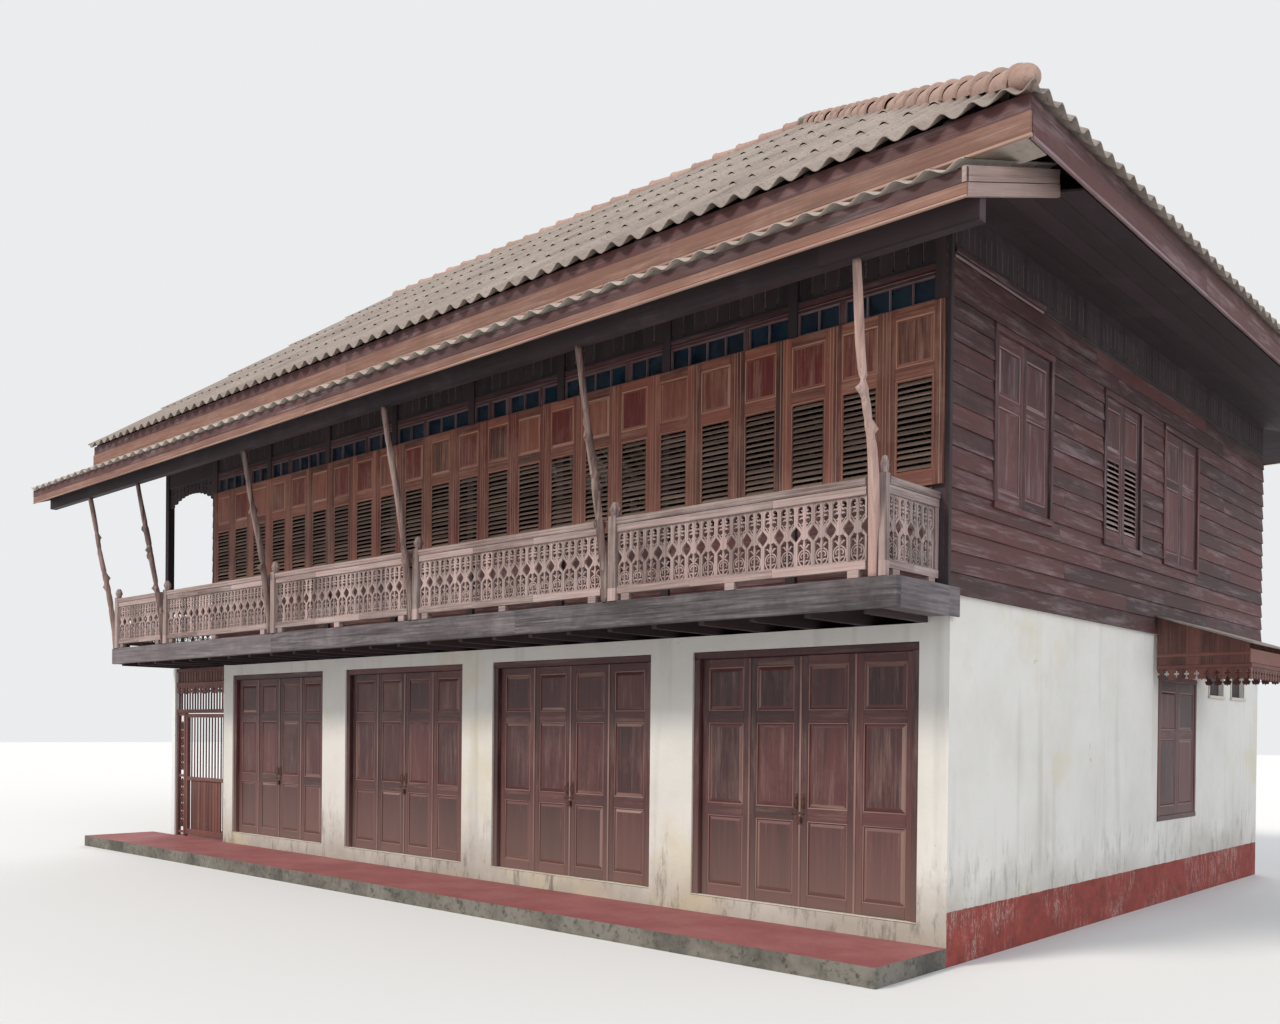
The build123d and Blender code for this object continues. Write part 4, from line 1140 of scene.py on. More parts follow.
@dataclass
class Fretwork:
    """The pierced railing's pattern: lobes over a tulip, a star beside diamonds, a spear over a ring."""

    unit: float = 0.17
    height: float = 0.5
    thick: float = 0.022

    def strokes(self) -> list[tuple[list[Flat], list[float]]]:
        """Draws the right half of the pattern, measured from the unit's middle at its foot.

        Returns:
            Each stroke's points, and its width at each.
        """
        w, h = self.unit / 2, self.height
        bar = w - 0.0095
        return [
            ([(bar, h), (bar, 0.338)], [0.017, 0.017]),
            ([(bar, 0.192), (bar, 0.0)], [0.017, 0.017]),
            ([(0.024, 0.282), (w - 0.001, 0.343)], [0.024, 0.018]),
            ([(0.024, 0.248), (w - 0.001, 0.187)], [0.024, 0.018]),
            ([(bar, 0.44), (bar - 0.003, 0.47), (0.054, 0.489), (0.03, 0.492), (0.0, 0.478)],
             [0.016, 0.017, 0.014, 0.012, 0.02]),
            ([(0.022, 0.49), (0.013, 0.474), (0.015, 0.458), (0.026, 0.449), (0.038, 0.456)],
             [0.01, 0.011, 0.013, 0.014, 0.005]),
            ([(0.0, 0.452), (0.014, 0.43), (0.032, 0.42), (0.05, 0.427), (0.067, 0.415)],
             [0.018, 0.02, 0.014, 0.01, 0.006]),
            ([(0.0, 0.408), (0.018, 0.392), (0.036, 0.394), (0.052, 0.384)], [0.026, 0.02, 0.012, 0.004]),
            ([(0.0, 0.36), (0.02, 0.342), (0.036, 0.346)], [0.03, 0.016, 0.004]),
            ([(0.067, 0.36), (0.05, 0.346), (0.038, 0.326), (0.02, 0.312)], [0.006, 0.01, 0.011, 0.014]),
            ([(0.0, 0.146), (0.02, 0.158), (0.038, 0.176), (0.052, 0.172)], [0.022, 0.013, 0.011, 0.004]),
            ([(0.0, 0.136), (0.023, 0.131), (0.044, 0.117), (0.057, 0.096), (0.06, 0.072),
              (0.055, 0.046), (0.044, 0.024), (0.028, 0.01)], [0.011] * 8),
            ([(0.0, 0.104), (0.014, 0.112), (0.03, 0.104), (0.038, 0.086), (0.03, 0.07), (0.021, 0.077)],
             [0.014, 0.012, 0.011, 0.01, 0.009, 0.004]),
            ([(0.0, 0.032), (0.018, 0.046), (0.034, 0.05), (0.046, 0.042)], [0.016, 0.013, 0.01, 0.004]),
        ]

    def panel(self, draft: Draft, place: Place, length: float) -> None:
        """Fills a run of railing with whole units.

        Args:
            draft: the piece that takes it.
            place: its lower left corner, in the middle of the boards' thickness.
            length: its length.
        """
        count = max(1, round(length / self.unit))
        step = length / count
        squeeze = step / self.unit
        half = self.thick / 2
        for i in range(count):
            tone = draft.tone(0.1, 0.75)
            middle = step * (i + 0.5)
            for number, (line, widths) in enumerate(self.strokes()):
                for side in (-1, 1):
                    proud = half - 0.0005 * number - 0.00025 * (side < 0)
                    turned = [(middle + side * x * squeeze, z) for x, z in line]
                    if side < 0:
                        turned.reverse()
                    draft.ribbon(place, turned, widths[::side], -proud, proud, tone)
            for number, (levels, widths) in enumerate((
                ((0.216, 0.238, 0.265, 0.292, 0.314), [0.03, 0.088, 0.062, 0.088, 0.036]),
                ((0.482, 0.45, 0.41, 0.37, 0.33, 0.3), [0.008, 0.016, 0.032, 0.018, 0.034, 0.03]),
                ((0.222, 0.196, 0.174, 0.15, 0.13, 0.0), [0.008, 0.015, 0.024, 0.012, 0.01, 0.013]),
            )):
                proud = half + 0.0004 * (number + 1)
                draft.ribbon(place, [(middle, z) for z in levels], widths, -proud, proud, tone)
        for z in (0.0, self.height - 0.012):
            draft.box(place, (0, -half + 0.0021, z), (length, half - 0.0021, z + 0.012), Grain.X)


@dataclass
class Balcony:
    """The balcony's edge beam, floor, rails, fretwork, newels and branch struts."""

    right: float = HOUSE.right
    edge: float = -5.47
    wall: float = HOUSE.front
    lap: float = 0.062
    return_beam: float = 0.167
    beam_top: float = HOUSE.beam_top
    beam_bottom: float = 2.865
    beam_thick: float = 0.07
    rail_half: float = 0.03
    strut_radius: float = 0.056
    strut_top: float = 5.38
    # Tones of the branches from the right: the first light as painted sunlight, the others dark as painted
    # shade.
    strut_lit_and_shaded_tones: tuple[float, ...] = (0.85, 0.1, 0.2, 0.1, 0.05, 0.35)
    lean: float = 0.4
    # How far the first branch's head stands to the side, as in the photograph.
    first_drift: float = 0.07
    plank: float = 0.148
    # The beam's joints, and how far in from the ends the first and last branch and the first newel stand.
    joints: Flat = (-2.1, 2.6)
    strut_inset: Flat = (0.156, 0.061)
    newel_inset: float = 0.069
    newel_from_strut: float = 0.1045
    newel_half: float = 0.0475
    strut_half: float = 0.057

    def struts(self) -> list[float]:
        """Where the branches stand along the beam, from the right."""
        first, last = self.right - self.strut_inset[0], -self.right + self.strut_inset[1]
        return [first, *(self.right - HOUSE.bay * i for i in range(1, 5)), last]

    def newels(self) -> list[float]:
        """Where the newels stand along the beam, from the right."""
        return [self.right - self.newel_inset] + [x + self.newel_from_strut for x in self.struts()[1:]]

    def runs(self) -> list[tuple[Place, float]]:
        """Finds the straight runs of railing.

        Returns:
            Each run's left end on the beam's line, and its length.
        """
        y = self.edge + self.beam_thick / 2
        lefts = [x + self.newel_half for x in self.newels()[1:]]
        rights = [x - self.strut_half for x in self.struts()[:-1]]
        found = [(Place((left, y, 0.0)), right - left) for left, right in zip(lefts, rights)]
        inner = -self.right + self.beam_thick / 2
        for x, start in ((self.newels()[0], y + self.rail_half), (inner, y + self.strut_half)):
            found.append((Place((x, start, 0.0), (0, 1, 0), (-1, 0, 0)), self.wall - start))
        return found

    def build(self) -> None:
        """Builds and dresses the balcony."""
        dress("balcony_newels", along(Palette.bare, Grain.Z, 0.4))
        dress("floor_joists", along(Palette.shade, Grain.Y, 0.3))
        self.beam()
        self.railing()
        self.branches()
        self.deck()

    def beam(self) -> None:
        """Adds the grey edge beam with its returns, in three lengths with open joints."""
        draft = Draft(21)
        x0, x1 = -self.right, self.right + self.lap
        near = self.edge + self.beam_thick
        a, b = self.joints
        for left, right in ((x0, a), (a + 0.002, b), (b + 0.002, x1)):
            draft.timber(
                HERE, (left, self.edge, self.beam_bottom), (right, near, self.beam_top), Grain.X,
                0.008, 0.004, None, 0.25,
            )
        near += 0.001
        for left, right, y0, y1 in (
            (x1 - self.return_beam, x1, near, self.wall - 0.001), (x0, x0 + self.beam_thick, near, self.wall),
            (self.right + 0.0435, x1, self.wall, self.wall + 0.18),
        ):
            draft.timber(
                HERE, (left, y0, self.beam_bottom), (right, y1, self.beam_top), Grain.Y, 0.006, 0.003
            )
        draft.build("edge_beam", Palette.grey, "weathered_wood", ["balcony_beam"])

    def railing(self) -> None:
        """Adds the rails, the moulded cap, the blocks under the bottom rail and the fretwork."""
        rails, frets = Draft(22), Draft(23)
        fretwork = Fretwork()
        for place, length in self.runs():
            self.rails(rails, place, length)
            if place.along[1]:
                length -= 0.055
                h = self.rail_half
                low, high = (length + 0.001, -h, HOUSE.fret_low), (length + 0.054, h, HOUSE.fret_high)
                rails.timber(place, low, high, Grain.Z, 0.004)
            fretwork.panel(frets, place.moved(0, 0, HOUSE.fret_low), length)
        rails.build("balustrade_rails", Palette.bare, "weathered_wood", ["balcony_rails"])
        frets.build(
            "balustrade_fretwork", along(Palette.bare, Grain.Z), "weathered_wood", ["fretwork_panels"]
        )

    def rails(self, draft: Draft, place: Place, length: float) -> None:
        """Adds one run's rails, with short lengths butted in the lower ones.

        Args:
            draft: the piece that takes them.
            place: the run's left end.
            length: its length.
        """
        h = self.rail_half
        for low, high in ((HOUSE.rail_low, HOUSE.fret_low), (HOUSE.fret_high, HOUSE.cap_low)):
            cuts = np.linspace(0, length, max(2, round(length / 0.95)) + 1)
            for a, b in zip(cuts[:-1], cuts[1:]):
                draft.timber(place, (a + 0.001, -h, low), (b - 0.001, h, high), Grain.X, 0.004, 0.003)
        top = HOUSE.cap_top
        steps = (
            (0.004, 0.0), (0.012, 0.014), (0.006, 0.024), (0.012, 0.036), (0.012, top - HOUSE.cap_low - 0.008)
        )
        profile = [(-h - out, HOUSE.cap_low + up) for out, up in steps] + [(-h - 0.004, top)]
        section = profile + [(-y, z) for y, z in reversed(profile)]
        rings = [place.points(np.array([(x, y, z) for y, z in section])) for x in np.linspace(0, length, 4)]
        draft.rings([r[::-1] for r in rings], Grain.X if abs(place.along[0]) > 0.5 else Grain.Y)
        blocks = max(2, round((length - 0.22) / 1.5) + 1)
        for x in np.linspace(0.11, length - 0.11, blocks):
            draft.box(place, (x - 0.05, -h, self.beam_top), (x + 0.05, h, HOUSE.rail_low), Grain.X)

    def branches(self) -> None:
        """Adds the crooked barked branches: swelling, knots and lopped side shoots."""
        draft = Draft(24)
        # Side shift, lean, height and thickness, each as a share of the whole.
        stations = (
            (0, 0, 0, 1), (0, 0.06, 0.12, 0.95), (1, 0.35, 0.42, 0.85), (-0.6, 0.72, 0.75, 0.78),
            (0, 1, 1, 0.72),
        )
        shifts, leans, levels, sizes = np.array(stations, float).T
        y_low = self.edge + self.beam_thick / 2
        rise = self.strut_top - self.beam_top
        spin = turn(18)
        for number, (x, tone) in enumerate(zip(self.struts(), self.strut_lit_and_shaded_tones)):
            sway = 0.025 * (-1) ** number
            knots = draft.random.uniform(0.18, 0.92, 6)
            faces_to = draft.random.uniform(0, 2 * math.pi, 6)
            phase = draft.random.uniform(0, 6, 4)
            rings = []
            for t in np.linspace(0, 1, 64):
                shift, lean, size = (np.interp(t, levels, column) for column in (shifts, leans, sizes))
                crook_x, crook_y = (
                    bend * math.sin(waves * t + start) * math.sin(math.pi * t)
                    for bend, waves, start in ((0.012, 7, phase[0]), (0.014, 9, phase[1]))
                )
                core = self.strut_radius * size * (0.8 + 0.07 * math.sin(11 * t + phase[2]))
                radius = np.full(len(spin), core)
                radius *= 1 + 0.06 * np.sin(3 * spin + 5 * t + phase[3]) + 0.03 * np.sin(7 * spin - 4 * t)
                for knot, to in zip(knots, faces_to):
                    near = math.exp(-(((t - knot) / 0.013) ** 2))
                    radius += 0.038 * near * np.exp(-((np.angle(np.exp(1j * (spin - to))) / 0.5) ** 2))
                    radius -= 0.006 * math.exp(-(((t - knot - 0.03) / 0.012) ** 2))
                crook_x += self.first_drift * t * (number == 0)
                y = y_low - self.lean * lean + crook_y
                rings.append(ring((x + sway * shift + crook_x, y, self.beam_top + rise * t), radius, spin))
            draft.rings(rings, Grain.Z, tone)
        draft.build("branch_props", Palette.branch, "weathered_wood", ["branch_struts"], smooth=True)

    def deck(self) -> None:
        """Adds the floor's planks from the balcony's edge to the back."""
        draft = Draft(25)
        low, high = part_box("upper_floor")
        y = low.y
        while y < high.y - 0.01:
            end = min(high.y, y + self.plank)
            outside = y < self.wall - 0.01
            left, right = (self.beam_thick, self.return_beam - self.lap) if outside else (0.0, 0.0)
            draft.box(HERE, (low.x + left, y, low.z), (high.x - right, end - 0.003, high.z - 0.0005), Grain.X)
            y += self.plank
        draft.build("floor_planks", Palette.fascia, "dark_wood", ["upper_floor"])


def slit_boards(draft: Draft, place: Place, length: float, width: float, levels: Flat, slit: Flat) -> None:
    """Adds upright boards whose edges are cut so that neighbours leave a slit with a bulb at each end.

    Args:
        draft: the piece that takes them.
        place: the left end of their row, on the wall's face.
        length: the row's length.
        width: the width of a board.
        levels: their foot and top.
        slit: the slits' bottom and top.
    """
    (z0, z1), (a, b) = levels, slit
    bulb, cut, mid, joint = 0.017, 0.0045, (a + b) / 2, 0.001
    edge = [
        (joint, z0), (joint, a - bulb), (bulb, a), (joint + cut, a + bulb), (cut, mid - 0.02),
        (bulb * 0.8, mid),
        (cut, mid + 0.02), (cut, b - bulb), (bulb, b), (joint, b + bulb), (joint, z1),
    ]
    count = round(length / width)
    step = length / count
    for i in range(count):
        x0, x1 = step * i, step * (i + 1)
        outline = [(x1 - d, z) for d, z in edge] + [(x0 + d, z) for d, z in reversed(edge)]
        # The sawn edges and a thin strip beside each slit are pale: partly rubbed edges, partly painted
        # daylight seen through the slits.
        draft.prism(place, outline, 0.0, 0.022, Grain.Z, edge=PALE_EDGE)
        draft.box(place, (x0 + cut + joint, -0.0012, a), (x0 + cut + 0.0055, 0.001, b), Grain.Z, PALE_EDGE)


@dataclass
class UpperFront:
    """The upper front between its posts: sill boards, shutters, transom lights and pierced boards."""

    right: float = HOUSE.right
    room_left: float = HOUSE.room_left
    wall: float = HOUSE.front
    floor: float = HOUSE.floor
    sill: float = 3.93
    leaf_top: float = 5.42
    leaves: int = 23
    # Bottoms and tops of the lights, of the groove above them and of the slits in the pierced boards.
    light: Flat = (5.44, 5.64)
    groove: Flat = (5.665, 5.69)
    slit: Flat = (5.79, 6.01)
    boards_foot: float = 5.72
    bead: float = 0.009
    stout_bar: float = 0.055
    post_half: float = 0.05
    vent_board: float = 0.14
    # Bottoms and tops of the two strips across the pierced boards.
    strips: tuple[Flat, ...] = ((6.04, 6.12), (5.72, 5.745))
    # Panes in each row of lights, bay by bay from the right.
    panes: tuple = ((2, 4), (4, 2), (4, 2), (1, 1, 2, 1), (2, 3), (3, 2), (2, 4), (4, 2))

    def spans(self) -> list[Flat]:
        """Finds the clear widths between the posts.

        Returns:
            The left and right end of each, from the right.
        """
        half, inner = self.post_half, (self.right - HOUSE.bay / 2 * i for i in range(1, 8))
        posts = [self.right - half, *inner, self.room_left - half]
        return [(left + half, right - half) for right, left in zip(posts[:-1], posts[1:])]

    def build(self) -> None:
        """Builds and dresses the upper front."""
        dress("wall_posts", along(Palette.shade, Grain.Z, 0.7))
        dress("wall_plates", along(Palette.shade, Grain.X, 0.7))
        dress("transom_glass", Palette.glass)
        self.shutters()
        self.lights()
        self.boards()

    def shutters(self) -> None:
        """Adds the row of leaves before the posts, from corner to corner, with some panels oxblood."""
        draft, slats = Draft(31), Draft(35)
        maker = LeafMaker(0.082, 0.035, 0.02, 0.012, 0.05, accents=0.35)
        rows = [(0.12, 0.9, Infill.LOUVRE), (1.0, 1.405, Infill.PANEL)]
        step = (self.right - self.room_left) / self.leaves
        for i in range(self.leaves):
            place = Place((self.room_left + step * i + 0.002, self.wall - 0.035, self.sill + 0.001))
            height = self.leaf_top - self.sill - 0.002
            maker.make(draft, place, step - 0.004, rows, height, slats)
            for x in (-0.006, 0.03, step - 0.036):
                draft.box(place, (x, -0.003, 0.0), (x + 0.006, 0.012, height), Grain.Z, PALE_EDGE)
        draft.build("front_shutter_leaves", Palette.shutter, "shutter_wood", ["front_shutters"], bevel=0.002)
        slats.build("front_shutter_slats", Palette.slat, "shutter_wood")

    def lights(self) -> None:
        """Adds the transom bars: rows of panes in pale beads, with stout bars between the rows."""
        draft = Draft(32)
        y0, y1 = self.wall + 0.015, self.wall + 0.05
        (low, high), (z_in, z_out), bead, stout = self.light, self.groove, self.bead, self.stout_bar
        for (left, right), counts in zip(self.spans(), self.panes):
            for z0, z1 in ((self.leaf_top, low), (high, z_in), (z_out, self.boards_foot)):
                draft.box(HERE, (left, y0, z0), (right, y1, z1), Grain.X, draft.tone(0.2, 0.7))
            draft.box(HERE, (left, y0 + 0.012, z_in), (right, y1, z_out), Grain.X)
            draft.box(HERE, (left, y0 - 0.004, z_in), (right, y0 + 0.012, z_in + 0.005), Grain.X, PALE_EDGE)
            pane = (right - left - stout * (len(counts) - 1)) / sum(counts)
            x = left
            for number, count in enumerate(counts):
                end = x + pane * count
                for i in range(count + 1):
                    at = min(max(x + pane * i - bead / 2, x), end - bead)
                    draft.box(HERE, (at, y0 + 0.004, low), (at + bead, y1, high), Grain.Z, PALE_EDGE)
                for z in (low, high - bead):
                    draft.box(HERE, (x, y0 + 0.006, z), (end, y1, z + bead), Grain.X, PALE_EDGE)
                if number < len(counts) - 1:
                    draft.box(HERE, (end, y0, low), (end + stout, y1, high), Grain.Z, draft.tone(0.1, 0.5))
                x = end + stout
        draft.build("transom_bars", Palette.wall, "dark_wood", ["transom_frames"], bevel=0.0015)

    def boards(self) -> None:
        """Adds the sill boards under the leaves and the pierced upright boards over the lights."""
        sills, vents = Draft(33), Draft(34)
        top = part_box("front_vent_boards")[1].z
        for left, right in self.spans():
            z = self.floor
            while z < self.sill - 0.05:
                end = min(z + HOUSE.board, self.sill - 0.04)
                sills.box(HERE, (left, self.wall + 0.03, z), (right, self.wall + 0.055, end - 0.002), Grain.X)
                z += HOUSE.board
            sills.timber(
                HERE, (left, self.wall - 0.012, self.sill - 0.04), (right, self.wall + 0.1, self.sill),
                Grain.X,
            )
            place = Place((left, self.wall + 0.03, 0))
            slit_boards(vents, place, right - left, self.vent_board, (self.boards_foot, top), self.slit)
            for z0, z1 in self.strips:
                vents.timber(
                    HERE, (left, self.wall + 0.01, z0), (right, self.wall + 0.032, z1), Grain.X, 0.005
                )
        sills.build("sill_boards", Palette.wall, "dark_wood", ["front_sill_wall"], bevel=0.002)
        vents.build("pierced_front_boards", Palette.shade, "dark_wood", ["front_vent_boards"])


@dataclass
class BoardWall:
    """One side wall of lapped boards with shuttered windows."""

    name: str
    node: str
    place: Place
    length: float
    height: float
    windows: tuple[Flat, ...]
    seed: int
    sill: float = 0.795
    head: float = 2.377
    board: float = 0.025
    lap: float = 0.018
    joint: float = 0.0012
    pitch: float = HOUSE.board

    def build(self) -> None:
        """Adds the boards, each row cut from lengths with open butt joints."""
        draft = Draft(self.seed)
        rows = round(self.height / self.pitch)
        step = self.height / rows
        for i in range(rows):
            z0, z1 = step * i, step * (i + 1)
            cuts = [0.0]
            while cuts[-1] < self.length - 2.2:
                cuts.append(cuts[-1] + float(draft.random.uniform(1.9, 4.3)))
            cuts = [c for c in cuts if c < self.length - 0.8] + [self.length]
            levels = sorted({z0, z1} | {z for z in (self.sill, self.head) if z0 < z < z1})
            for a, b in zip(cuts[:-1], cuts[1:]):
                tone = draft.tone()
                for low, high in zip(levels[:-1], levels[1:]):
                    for c, d in self.clear(a, b, (low + high) / 2):
                        shares = ((low - z0) / step, (high - z0) / step)
                        self.plank(draft, (c, d), shares, (low, high), tone)
        draft.build(self.name, Palette.wall, "dark_wood", [self.node])

    def clear(self, start: float, end: float, z: float) -> list[Flat]:
        """Finds the parts of a board that lie beside the windows.

        Args:
            start: the board's left end.
            end: its right end.
            z: its height.

        Returns:
            The left and right ends of each part.
        """
        spans = [(start, end)]
        for left, width in self.windows if self.sill < z < self.head else ():
            beside = [part for a, b in spans for part in ((a, min(b, left)), (max(a, left + width), b))]
            spans = [(a, b) for a, b in beside if b - a > 0.01]
        return spans

    def plank(self, draft: Draft, ends: Flat, shares: Flat, levels: Flat, tone: float) -> None:
        """Adds one wedge-shaped board, or the part of one above or below a window's edge.

        Args:
            draft: the piece that takes it.
            ends: its left and right end.
            shares: where its foot and top lie in its row, from 0 to 1.
            levels: their heights.
            tone: its tone.
        """
        under, over = (-self.board - self.lap * (1 - share) for share in shares)
        over -= 0.002
        foot, top = levels
        profile = ((0, top), (over, top), (under, foot), (0, foot))
        draft.bar(self.place, profile, ends[0] + self.joint, ends[1] - self.joint, tone)


@dataclass
class SideWalls:
    """The boarded side, back and porch walls, their slit boards, mouldings, windows and shutters."""

    right: float = HOUSE.right
    room_left: float = HOUSE.room_left
    front: float = HOUSE.front
    back: float = HOUSE.back
    base: float = 3.06
    board_top: float = 5.79
    vent_top: float = 6.2
    frame_bar: float = 0.06
    vent_board: float = 0.105
    # Bottoms and tops of the upper windows and of the ground storey's.
    upper: Flat = (3.855, 5.437)
    lower: Flat = (0.94, 2.6)
    # Left edges and widths of the upper side windows, and the widths of those at the back and below.
    side: tuple[Flat, ...] = ((0.8, 1.22), (3.28, 1.10), (5.07, 1.24))
    rear_width: float = 1.22
    ground_width: float = 1.35

    def build(self) -> None:
        """Builds every boarded wall with its windows."""
        rear = tuple((HOUSE.bay * (i + 0.5) - self.rear_width / 2, self.rear_width) for i in range(4))
        height = self.board_top - self.base
        right = Place((self.right, self.front, self.base), (0, 1, 0), (-1, 0, 0))
        back = Place((self.right, self.back, self.base), (-1, 0, 0), (0, -1, 0))
        porch = Place((self.room_left - 0.1, self.back, HOUSE.floor), (0, -1, 0), (1, 0, 0))
        deep, wide = self.back - self.front, self.right - self.room_left
        BoardWall("right_lapped_boards", "right_board_wall", right, deep, height, self.side, 41).build()
        BoardWall("back_lapped_boards", "back_board_wall", back, wide, height, rear, 42).build()
        BoardWall("porch_lapped_boards", "left_board_wall", porch, deep, 3.66, (), 43).build()
        self.slits(right, back)
        self.windows(right, back, rear)

    def slits(self, right: Place, back: Place) -> None:
        """Adds the upright slit boards over the lapped ones, the corner trim and the rest of the moulding.

        Args:
            right: the right wall.
            back: the back wall.
        """
        draft = Draft(44)
        low = self.board_top - self.base
        high = self.vent_top - self.base
        for place, length in ((right, self.back - self.front), (back, self.right - self.room_left + 0.1)):
            slit = (low + 0.1, high - 0.1)
            slit_boards(draft, place.moved(0, -0.025, 0), length, self.vent_board, (low, high), slit)
            draft.timber(place, (0, -0.047, low - 0.004), (length, 0.0, low + 0.024), Grain.X, 0.005)
        draft.timber(right, (-0.001, -0.05, 0.0), (0.045, 0.0, high), Grain.Z, 0.006)
        draft.build("slit_boards", Palette.shade, "dark_wood", ["side_vent_boards"])
        strip = Draft(45)
        strip.timber(
            right, (0.05, -0.068, low + 0.004), (1.78, -0.025, low + 0.05), Grain.X, 0.008, 0.003, 0.3
        )
        # The thin lower strip is pale: a painted highlight along the moulding.
        strip.timber(
            right, (0.05, -0.056, low - 0.03), (1.75, -0.045, low - 0.006), Grain.X, 0.004, 0.002, PALE_EDGE
        )
        strip.build("wall_moulding", Palette.wall, "dark_wood")

    def windows(self, right: Place, back: Place, rear: tuple[Flat, ...]) -> None:
        """Adds every window's frame and leaves, upstairs and on the ground storey.

        Args:
            right: the right wall.
            back: the back wall.
            rear: left edge and width of the back wall's upper windows.
        """
        frames, leaves, slats = Draft(46), Draft(47), Draft(48)
        maker = LeafMaker(0.06, 0.035, 0.022, 0.014)
        sill, head = (z - self.base for z in self.upper)
        tall = [(0.1, 0.84, Infill.PANEL), (0.93, 1.36, Infill.PANEL)]
        vented = [(0.1, 0.84, Infill.LOUVRE), (0.93, 1.36, Infill.PANEL)]
        for number, (start, width) in enumerate(self.side):
            rows = vented if number == 1 else tall
            self.window(frames, leaves, maker, right, (start, width), (sill, head), rows, 0.025, slats)
        for span in rear:
            self.window(frames, leaves, maker, back, span, (sill, head), tall, 0.025)
        squat = [(0.1, 0.88, Infill.PANEL), (0.98, 1.43, Infill.PANEL)]
        low_sill, low_head = (z - self.base for z in self.lower)
        red_frames, red_leaves = Draft(49), Draft(50)
        for place, start in ((right, 5.1), (back, 0.825), (back, 6.825)):
            span = (start, self.ground_width)
            self.window(red_frames, red_leaves, maker, place, span, (low_sill, low_head), squat, 0.0)
        frames.build("window_casings", Palette.wall, "dark_wood", ["window_frames"], bevel=0.003)
        leaves.build("side_shutters", Palette.wall, "dark_wood", ["window_shutters"], bevel=0.002)
        slats.build("pale_side_slats", Palette.verge, "dark_wood")
        red_frames.build("ground_window_casings", Palette.door, "door_wood", bevel=0.003)
        red_leaves.build("ground_window_shutters", Palette.door, "door_wood", bevel=0.002)

    def window(
        self, frames: Draft, leaves: Draft, maker: LeafMaker, place: Place, span: Flat, levels: Flat,
        rows: list[tuple[float, float, Infill]], face: float, slats: Draft | None = None,
    ) -> None:
        """Adds one window.

        Args:
            frames: the piece that takes its frame.
            leaves: the piece that takes its leaves.
            maker: the leaves' builder.
            place: the wall.
            span: its left edge along the wall, and its width.
            levels: its bottom and top.
            rows: the openings of each leaf.
            face: how far the leaves' face stands before the wall's.
            slats: the piece that takes its louvres, if it has any.
        """
        (start, width), (sill, head), b = span, levels, self.frame_bar
        front = -face - (0.028 if face else 0.01)
        for x in (start, start + width - b):
            frames.timber(place, (x, front, sill + b), (x + b, 0.05, head - b), Grain.Z, 0.004)
        for z in (sill, head - b):
            frames.timber(place, (start, front - 0.004, z), (start + width, 0.05, z + b), Grain.X, 0.005)
        leaf = (width - 2 * b - 0.004) / 2
        for i in range(2):
            spot = place.moved(start + b + i * (leaf + 0.004), -face, sill + b)
            maker.make(leaves, spot, leaf, rows, head - sill - 2 * b, slats)


@dataclass
class TiledSlope:
    """One slope of double-wave cement tiles laid in courses up from the eave."""

    name: str
    node: str
    # The eave's middle at height 0, with y into the roof.
    place: Place
    ends: Flat
    height: float
    seed: int
    hips: int
    pitch: float = 0.7
    wave: float = 0.23
    swell: float = 0.026
    course: float = 1.146
    lip: float = 0.011
    gape: float = 0.017
    per_wave: int = 10

    def surface(self, s: np.ndarray, d: np.ndarray, lift: float | np.ndarray) -> np.ndarray:
        """Points of the tiles' upper face at s along the eave and d in from it."""
        z = self.height + self.pitch * d + self.swell * np.cos(2 * math.pi * s / self.wave) + lift
        return self.place.points(np.stack([s, d, z], 1))

    def build(self) -> None:
        """Adds every course as waved tiles with an open lip at their lower edge."""
        draft = Draft(self.seed)
        half = max(abs(v) for v in self.place.origin)
        grid = np.arange(self.ends[0], self.ends[1] + 1e-6, self.wave / self.per_wave)
        reach = self.ends[1] - (np.abs(grid) if self.hips == 2 else grid)
        reach = np.minimum(half, reach) if self.hips == 1 else reach
        start = 0.0
        while start < reach.max():
            end = min(start + self.course + 0.06, reach.max())
            for first in range(0, len(grid) - 1, 2 * self.per_wave):
                part = slice(first, first + 2 * self.per_wave + 1)
                self.tile(draft, grid[part], reach[part], start, end)
            start += self.course
        draft.build(self.name, Palette.tile, "roof_tile", [self.node], smooth=True)

    def tile(self, draft: Draft, s: np.ndarray, reach: np.ndarray, start: float, end: float) -> None:
        """Adds one tile: its waved face, its lip and, at the eave, its underside.

        Args:
            draft: the piece that takes it.
            s: where it is cut along the eave.
            reach: how far in the slope runs at each cut.
            start: its lower edge's distance from the eave.
            end: its upper edge's distance.
        """
        if reach.max() <= start + 0.02:
            return
        slip = float(draft.random.uniform(-0.008, 0.008))
        lift = float(draft.random.uniform(0, 0.003))
        low, high = np.minimum(start + slip if start else start, reach), np.minimum(end, reach)
        crest = (0.5 + 0.5 * np.cos(2 * math.pi * s / self.wave)) ** 2 * self.gape
        rows = [self.surface(s, low, 0.013 + lift + crest - self.lip)]
        if not start:
            rows.insert(0, self.surface(s, np.minimum(low + 0.5, reach), 0.015 - self.lip))
        # How far up the tile, its rise over its bed, and how much it gapes there.
        profile = (
            (0.0, 0.013, 1.0), (0.07, 0.012, 0.75), (0.25, 0.011, 0.2), (0.6, 0.008, 0.0), (1.0, 0.0, 0.0)
        )
        for up, rise, share in profile:
            rows.append(self.surface(s, low + (high - low) * up, rise + lift + crest * share))
        draft.rings(rows, Grain.Y, None, closed=False, flipped=self.place.inward[1] < 0)


